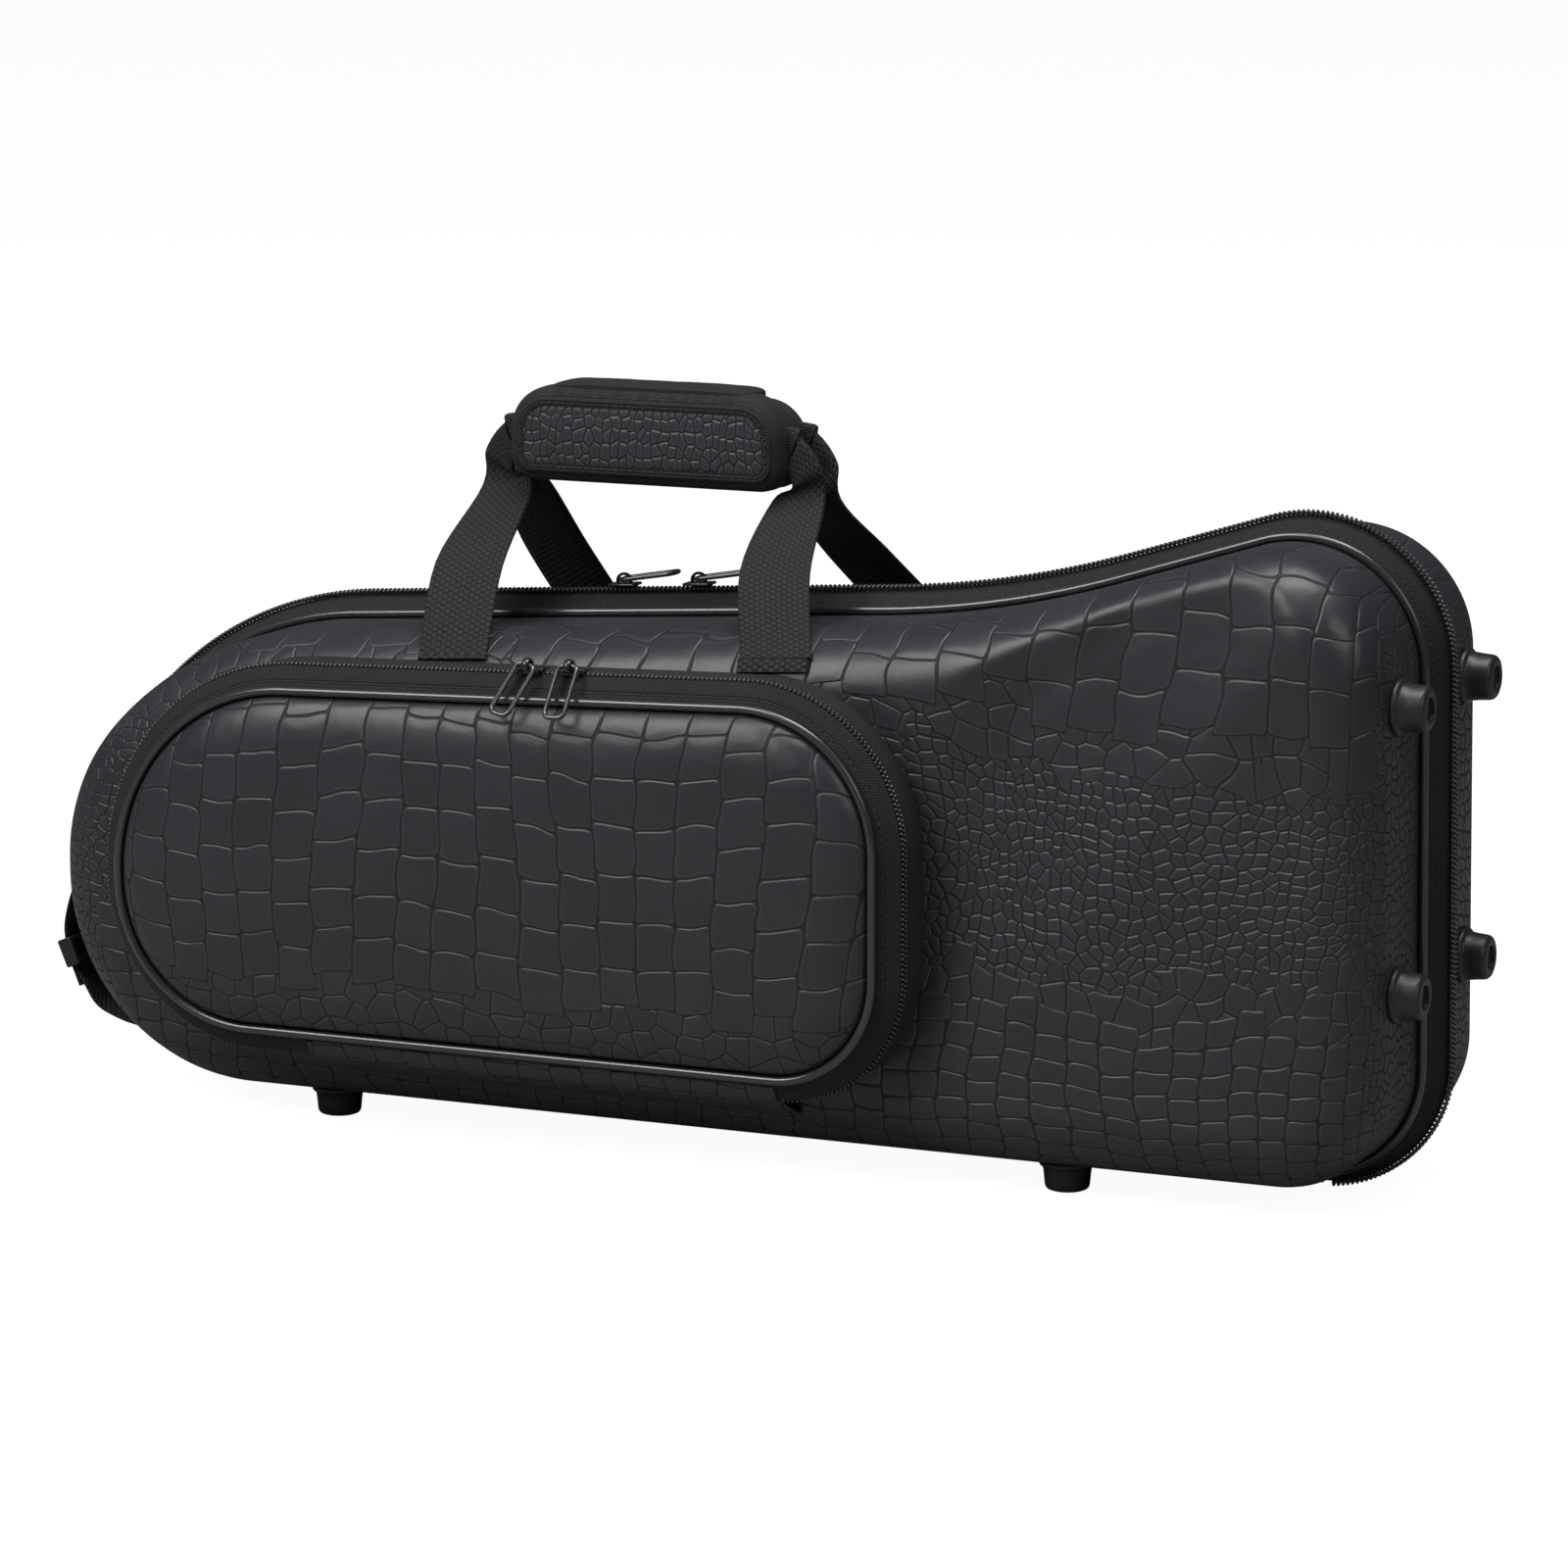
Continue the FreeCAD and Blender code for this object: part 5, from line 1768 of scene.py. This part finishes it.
@dataclass
class Pocket:
    """The zipped pocket on the front: wall, two rows of coil, sloping band, piping and crowned face."""

    shell: HalfShell
    parting: float = POCKET_PARTING
    half_gap: float = 0.15
    edge: float = 98.0
    crown: float = 108.0
    swell: float = 1.6
    reach: float = 26.0
    face_inset: float = 2.1
    wall: float = 2.5
    sunk: float = 1.5
    tooth: tuple[float, float, float] = (1.15, 2.1, 1.5)
    tooth_line: tuple[float, float] = (0.45, 1.25)
    flap_ends: tuple[float, float] = (-152.3, 51.7)
    flap_outside: tuple[tuple[float, float], ...] = (
        (70.0, 26.0), (76.0, 27.9), (84.0, 31.6), (89.0, 34.7), (90.0, 35.1), (91.5, 35.2), (93.2, 35.6),
        (95.4, 38.6), (97.6, 41.9),
    )
    flap_inside: tuple[tuple[float, float], ...] = (
        (70.0, 26.8), (76.0, 29.3), (84.0, 33.1), (89.0, 36.2), (90.0, 36.6), (91.5, 36.7), (92.7, 37.0),
        (94.4, 39.3), (97.3, 43.2),
    )
    flap_bend: tuple[float, float] = (-88.5, -91.0)
    flap_bend_z: float = 35.2
    ripple: float = 0.35
    ripple_from: float = 73.0
    spine: Spine = field(default_factory=lambda: Spine((-168.0, 112.0), (36.0, 118.0), 8.0))

    def build(self, shop: Workshop) -> None:
        """Build the pocket's pieces.

        Args:
            shop: The workshop that makes its pieces.
        """
        front = Side.FRONT
        shop.piece("pocket_wall_cloth", half(self.gusset(), front), Finish.TAPE, "lid", "pocket_gusset")
        near = self.parting + self.half_gap
        section = ((-POCKET_RIDGE, near), (-POCKET_RIDGE, near + 2.5), (-5.4, 95.3), (-1.6, self.edge))
        section += ((4.6, self.edge), (-6.5, near))
        band = half(belt(POCKET_OUTLINE, section), front)
        shop.piece("pocket_band_cloth", band, Finish.TAPE, "pocket_lid", "pocket_face_band")
        cord = half(belt(POCKET_OUTLINE, cord_section(0.0, self.edge + CORD_RADIUS, CORD_RADIUS)), front)
        shop.piece("pocket_piping_cord", cord, Finish.PIPING, "pocket_lid", "pocket_piping")
        out = POCKET_OUTLINE.outward()
        above, aside = self.tooth_line
        rows = (("pocket_wall", "lid", -1, 0.0), ("pocket_face", "pocket_lid", 1, TOOTH_PITCH / 2))
        for name, body, sign, shift in rows:
            line = POCKET_OUTLINE.open_ring(-POCKET_RIDGE - above, self.parting + sign * aside)
            teeth = half(coil(line, out, TOOTH_START + shift, self.tooth, TOOTH_SLANT * sign), front)
            shop.piece(f"{name}_coil_row", teeth, Finish.COIL, body, f"{name}_teeth")
        face = half(self.face(), front)
        name, plush = "pocket_face_cover", Finish.PLUSH
        shop.piece(name, face, Finish.POCKET, "pocket_lid", "pocket_face", lining=plush, crease=60.0)
        self.flap(shop)

    def gusset(self) -> bmesh.types.BMesh:
        """Make the pocket's wall, which meets the shell all round.

        Returns:
            The wall.
        """
        inner = -POCKET_RIDGE + self.wall
        far = self.parting - self.half_gap
        rows = []
        for inset in (-POCKET_RIDGE, inner):
            row = POCKET_OUTLINE.ring(inset, self.shell.face)
            rows.append([self._on_shell(point) for point in row])
        middle = [a.lerp(b, 0.5) for a, b in zip(rows[0], POCKET_OUTLINE.ring(-POCKET_RIDGE + 0.4, far))]
        top = [POCKET_OUTLINE.ring(-POCKET_RIDGE, far), POCKET_OUTLINE.ring(inner, far)]
        return closed(lay([rows[0], middle, top[0], top[1], rows[1]], round_along=True, round_across=True))

    def _rounded(self, inset: float) -> float:
        """Measure the shell's rounded outside.

        Args:
            inset: How far in from the case's outline.

        Returns:
            How far out the outside is.
        """
        rounding = self.shell.edge
        share = max(0.0, (self.shell.inset + rounding - inset) / rounding)
        return self.shell.face - rounding + rounding * math.sqrt(max(0.0, 1 - share * share))

    def _on_shell(self, point: Vector) -> Vector:
        """Move a point on to the shell's outside, a little under its surface.

        Args:
            point: The point.

        Returns:
            The point on the shell.
        """
        inset = min((case_slope(point.x) - point.z) * math.cos(SLOPE), point.z - CASE_LOW)
        y = self._rounded(inset)
        x, z = TAIL_CENTRE
        if point.x < x and point.z < z:
            y = min(y, self._rounded(TAIL_RADIUS - Vector((point.x - x, point.z - z)).length))
        return self.shell.pressed(Vector((point.x, y - self.sunk, point.z)), self.sunk)

    def face(self) -> bmesh.types.BMesh:
        """Make the crowned face with its lining.

        Returns:
            The face.
        """
        rise = self.crown - self.edge
        inset = self.face_inset
        levels = rounded_edge(inset, self.edge, rise, self.reach, 14)
        outer = [POCKET_OUTLINE.ring(*level) for level in levels]
        outer += cap(POCKET_OUTLINE, inset + self.reach, self.crown, self.spine, 14, self.swell)
        inset += self.wall
        levels = rounded_edge(inset, self.edge, rise - self.wall, self.reach, 6)
        inner = [POCKET_OUTLINE.ring(*level) for level in levels]
        inner += cap(POCKET_OUTLINE, inset + self.reach, self.crown - self.wall, self.spine, 6)
        rows = outer[::-1] + inner
        return closed(lay(rows, round_along=True, paint=lambda row: 0 if row < len(outer) else 1))

    def flap(self, shop: Workshop) -> None:
        """Build the leather flap on which the pocket's face swings.

        Args:
            shop: The workshop that makes its pieces.
        """
        left, right = self.flap_ends
        inside = self.flap_inside[::-1]
        count = 80
        rows = []
        for spots, backing in ((self.flap_outside, self.flap_inside), (inside, inside)):
            for (y, z), (_, back) in zip(spots, backing):
                row = []
                for i in range(count + 1):
                    x = left + (right - left) * i / count
                    ripple = self.ripple * noise.noise(Vector((x / 18.0, y / 30.0, 7.0)))
                    lift = ripple if y > self.ripple_from else 0.0
                    end = max(0.0, abs(2.0 * i / count - 1.0) - 0.96) / 0.04
                    row.append(Vector((x, -y, z + (back - z) * 0.7 * end * end - max(0.0, lift))))
                rows.append(row)
        mesh = closed(lay(rows, round_across=True))
        strip = shop.place("pocket_hinge_leather", mesh, Finish.SHELL, crease=60.0)
        start, end = (Vector((0.0, y, self.flap_bend_z)) - ROW_ORIGIN for y in self.flap_bend)
        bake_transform(strip)
        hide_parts("pocket_hinge_lower", "pocket_hinge_upper")


class Zip(Enum):
    """The two zippers, by the height of their coil."""

    MAIN = 1.0
    POCKET = 1.2


@dataclass
class Slider:
    """A slider and its wire pull, X along the zipper and Z away from it."""

    label: str
    zip: Zip
    frame: Matrix
    half_length: float = 6.0
    half_width: float = 4.2
    plate: float = 1.25
    clearance: float = 0.35
    nose: float = 0.22
    bail_radius: float = 2.8
    bail_height: float = 2.6
    bail_wire: float = 0.62
    loop_length: float = 23.5
    loop_half_width: float = 4.2
    loop_corner: float = 2.6
    loop_wire: float = 1.0

    def body(self) -> bmesh.types.BMesh:
        """Cast the slider's body with its bail.

        Returns:
            The body.
        """
        under = self.zip.value + self.clearance
        size = (2 * self.half_length, 2 * self.half_width, self.plate)
        plate = block(size, (0, 0, under + self.plate / 2), 0.45)
        for vert in plate.verts:
            if vert.co.x < 0:
                vert.co.y *= 1.0 + self.nose * vert.co.x / self.half_length
        low = -1.2 if self.zip is Zip.MAIN else 0.3
        wall = block((8.4, 1.3, under - low + 0.4), (0, 3.55, (under + low) / 2 + 0.2), 0.3)
        top = under + 1.1
        radius = self.bail_radius
        path = [Vector((-radius, 0, top))]
        for step in range(13):
            angle = math.pi * (1 - step / 12)
            path.append(Vector((math.cos(angle) * radius, 0, top + 1.2 + math.sin(angle) * self.bail_height)))
        path.append(Vector((radius, 0, top)))
        bail = wire(path, Vector((0, 1, 0)), self.bail_wire, sides=10, round_path=False)
        bail = moved(bail, Matrix.Diagonal((1.0, 2.2, 1.0, 1.0)))
        if self.zip is Zip.MAIN:
            return joined((plate, wall, bail))
        bail = moved(bail, Matrix.Translation((0, 4.4, 0)) @ Matrix.Rotation(math.pi / 2, 4, "Z"))
        stem = block((2.6, 5.0, 1.2), (0, 3.2, under + 0.7), 0.4)
        return joined((plate, wall, bail, stem))

    def build(self, shop: Workshop, pull: Matrix) -> None:
        """Build the slider and its pull.

        Args:
            shop: The workshop that makes its pieces.
            pull: The pull's place on the slider.
        """
        name = self.zip.name.lower()
        slider, loop = f"{name}_slider_{self.label}", f"{name}_pull_{self.label}"
        turn = Matrix.Rotation(math.pi, 4, "Z") if self.zip is Zip.POCKET else Matrix.Identity(4)
        casting = moved(self.body(), self.frame @ turn)
        shop.piece(f"{slider}_casting", casting, Finish.METAL, f"{slider}_body", slider, crease=50.0)
        width = self.loop_half_width
        path = rectangle(0.0, self.loop_length, -width, width, self.loop_corner, 0.6).ring(0.0, 0.0)
        bent = wire(path, Vector((0, 1, 0)), self.loop_wire)
        bent = moved(bent, self.frame @ pull @ Matrix.Rotation(math.pi / 2, 4, "X"))
        shop.piece(f"{loop}_wire", bent, Finish.WIRE, f"{loop}_body", loop)


def build_sliders(shop: Workshop) -> None:
    """Build the two sliders and pulls of each zipper.

    Args:
        shop: The workshop that makes their pieces.
    """
    for label, x in MAIN_SLIDERS:
        frame = Matrix.Translation((x, 0.0, case_slope(x))) @ Matrix.Rotation(-SLOPE, 4, "Y")
        swing = Matrix.Rotation(math.radians(MAIN_PULL_SWING), 4, "Y")
        pull = Matrix.Translation((0, 0, Zip.MAIN.value + BAIL_TOP)) @ swing
        Slider(label, Zip.MAIN, frame).build(shop, pull)
    tilt = Matrix.Rotation(-math.atan(POCKET_RISE), 4, "Y")
    for label, x, slant in POCKET_SLIDERS:
        frame = Matrix.Translation((x, -POCKET_PARTING, pocket_ridge(x))) @ tilt
        seat = Matrix.Translation((0, -POCKET_BAIL_OUT, Zip.POCKET.value + BAIL_TOP))
        lift = Matrix.Rotation(math.radians(POCKET_PULL_LIFT), 4, "X")
        drop = lift @ Matrix.Rotation(math.radians(-90.0 - slant), 4, "Z")
        Slider(label, Zip.POCKET, frame).build(shop, seat @ drop)


@dataclass
class Bed:
    """The fitted bed in the back half and its counterpart in the lid."""

    voxel: float = 3.0
    merge: float = 0.02
    softening: float = 0.5
    passes: int = 6
    fill: float = 0.9

    def build(self, shop: Workshop, nodes: dict[str, bpy.types.Object]) -> None:
        """Build both beds from copies of their solids.

        Args:
            shop: The workshop, which has the plush.
            nodes: The frame's solids by name.
        """
        for node, body in (("instrument_bed", "back"), ("lid_padding", "lid")):
            data = nodes[node].data.copy()
            copy = bpy.data.objects.new(f"{node}_plush", data)
            bpy.context.scene.collection.objects.link(copy)
            merge = bmesh.new()
            merge.from_mesh(data)
            bmesh.ops.remove_doubles(merge, verts=merge.verts, dist=self.merge * MM)
            merge.to_mesh(data)
            merge.free()
            remesh = copy.modifiers.new("voxels", "REMESH")
            remesh.mode = "VOXEL"
            remesh.voxel_size = self.voxel * MM
            smooth = copy.modifiers.new("softening", "SMOOTH")
            smooth.factor, smooth.iterations = self.softening, self.passes
            graph = bpy.context.evaluated_depsgraph_get()
            data = bpy.data.meshes.new_from_object(copy.evaluated_get(graph))
            copy.modifiers.clear()
            copy.data = data
            data.materials.clear()
            data.materials.append(shop.finishes[Finish.PLUSH])
            data.shade_smooth()
            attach(copy, body)
            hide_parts(node)
            LOG.info("%s: %d faces", copy.name, len(data.polygons))


@dataclass
class Studio:
    """Camera, lamps, world and the pale floor that the case stands on, in metres from the frame's origin."""

    eye: tuple[float, float, float] = (1.0178, -2.2566, 0.5876)
    target: tuple[float, float, float] = (0.0131, 0.0, 0.1432)
    lens: float = 144.0
    lamp_target: tuple[float, float, float] = (0.0, 0.0, 0.14)
    lamps: tuple[tuple, ...] = (
        ("key", (-1.2, -1.7, 2.3), (1.4, 1.1), 38.0),
        ("strip", (-1.1, -2.0, 1.45), (1.4, 0.3), 12.0),
        ("side", (2.5, -1.3, 1.9), (0.8, 1.4), 13.0),
        ("top", (0.3, -0.2, 2.4), (1.9, 0.8), 40.0),
    )
    floor_half_size: float = 9.0
    floor_grey: float = 0.28
    floor_seen: float = 0.95
    sky: tuple[float, float, float, float] = (0.9, 0.93, 1.0, 1.0)
    sky_strength: float = 0.06

    def camera(self) -> None:
        """Set the camera at the photograph's viewing angle."""
        data = bpy.data.cameras.new("studio_camera")
        data.lens = self.lens
        data.sensor_width = 36.0
        data.clip_end = 60.0
        camera = bpy.data.objects.new("studio_camera", data)
        eye, target = (Vector(spot) - ROW_ORIGIN * MM for spot in (self.eye, self.target))
        camera.location = eye
        camera.rotation_euler = (target - eye).to_track_quat("-Z", "Y").to_euler()
        bpy.context.scene.collection.objects.link(camera)
        bpy.context.scene.camera = camera

    def lamp(self, name: str, place: Sequence[float], size: tuple[float, float], watts: float) -> None:
        """Hang one soft rectangular lamp that faces the case.

        Args:
            name: The lamp's name.
            place: Its place.
            size: Its width and height.
            watts: Its power.
        """
        data = bpy.data.lights.new(name, "AREA")
        data.shape = "RECTANGLE"
        data.size, data.size_y = size
        data.energy = watts
        lamp = bpy.data.objects.new(name, data)
        lamp.location = place
        lamp.rotation_euler = (Vector(self.lamp_target) - Vector(place)).to_track_quat("-Z", "Y").to_euler()
        bpy.context.scene.collection.objects.link(lamp)

    def floor(self) -> None:
        """Lay the floor, which the camera sees as nearly white and which keeps the case's shadow."""
        mesh = bmesh.new()
        bmesh.ops.create_grid(mesh, x_segments=1, y_segments=1, size=self.floor_half_size)
        data = bpy.data.meshes.new("studio_floor")
        mesh.to_mesh(data)
        mesh.free()
        floor = bpy.data.objects.new("studio_floor", data)
        recipe = Recipe("studio_white")
        rays = recipe.node("ShaderNodeLightPath")
        grain = recipe.grain(recipe.node("ShaderNodeTexCoord", output="Object"), 0.4, 2.0)
        sockets = {
            "Base Color": recipe.shade([self.floor_grey] * 3, 0.98 + grain * 0.04),
            "Roughness": 0.9,
            "Emission Color": recipe.shade([self.floor_seen] * 3, rays),
            "Emission Strength": 1.0,
        }
        data.materials.append(recipe.finish(sockets))
        bpy.context.scene.collection.objects.link(floor)

    def world(self) -> None:
        """Give the world a soft grey light, and white where the camera sees it."""
        world = bpy.data.worlds.new("studio_world")
        world.use_nodes = True
        bpy.context.scene.world = world
        tree = world.node_tree
        tree.nodes.clear()
        path = tree.nodes.new("ShaderNodeLightPath")
        mix = tree.nodes.new("ShaderNodeMixShader")
        soft = tree.nodes.new("ShaderNodeBackground")
        soft.inputs["Color"].default_value = self.sky
        soft.inputs["Strength"].default_value = self.sky_strength
        seen = tree.nodes.new("ShaderNodeBackground")
        seen.inputs["Color"].default_value = (1.0, 1.0, 1.0, 1.0)
        output = tree.nodes.new("ShaderNodeOutputWorld")
        tree.links.new(path.outputs["Is Camera Ray"], mix.inputs[0])
        tree.links.new(soft.outputs[0], mix.inputs[1])
        tree.links.new(seen.outputs[0], mix.inputs[2])
        tree.links.new(mix.outputs[0], output.inputs["Surface"])

    def build(self) -> None:
        """Set up the studio."""
        self.camera()
        self.floor()
        self.world()
        for lamp in self.lamps:
            self.lamp(*lamp)
        bpy.context.scene.view_settings.view_transform = "Standard"


def main() -> None:
    """Build the studio and the case, piece by piece."""
    logging.basicConfig(level=logging.INFO, stream=sys.stdout, format="%(name)s: %(message)s")
    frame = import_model()
    Studio().build()
    shop = Workshop(make_finishes())
    shells = {side: HalfShell(side) for side in Side}
    for side, shell in shells.items():
        for part in (shell, ZipEdge(side), Feet(side), HandleStrap(side)):
            part.build(shop)
    front_grip = Grip(Side.FRONT, 300.0, 16.7)
    rear_grip = Grip(Side.BACK, 297.0, 14.7)
    pocket = Pocket(shells[Side.FRONT])
    for part in (ClothHinge(), front_grip, rear_grip, GripFace(front_grip), TailStrap(), pocket):
        part.build(shop)
    build_sliders(shop)
    Bed().build(shop, frame["nodes"])


if __name__ == "__main__":
    main()
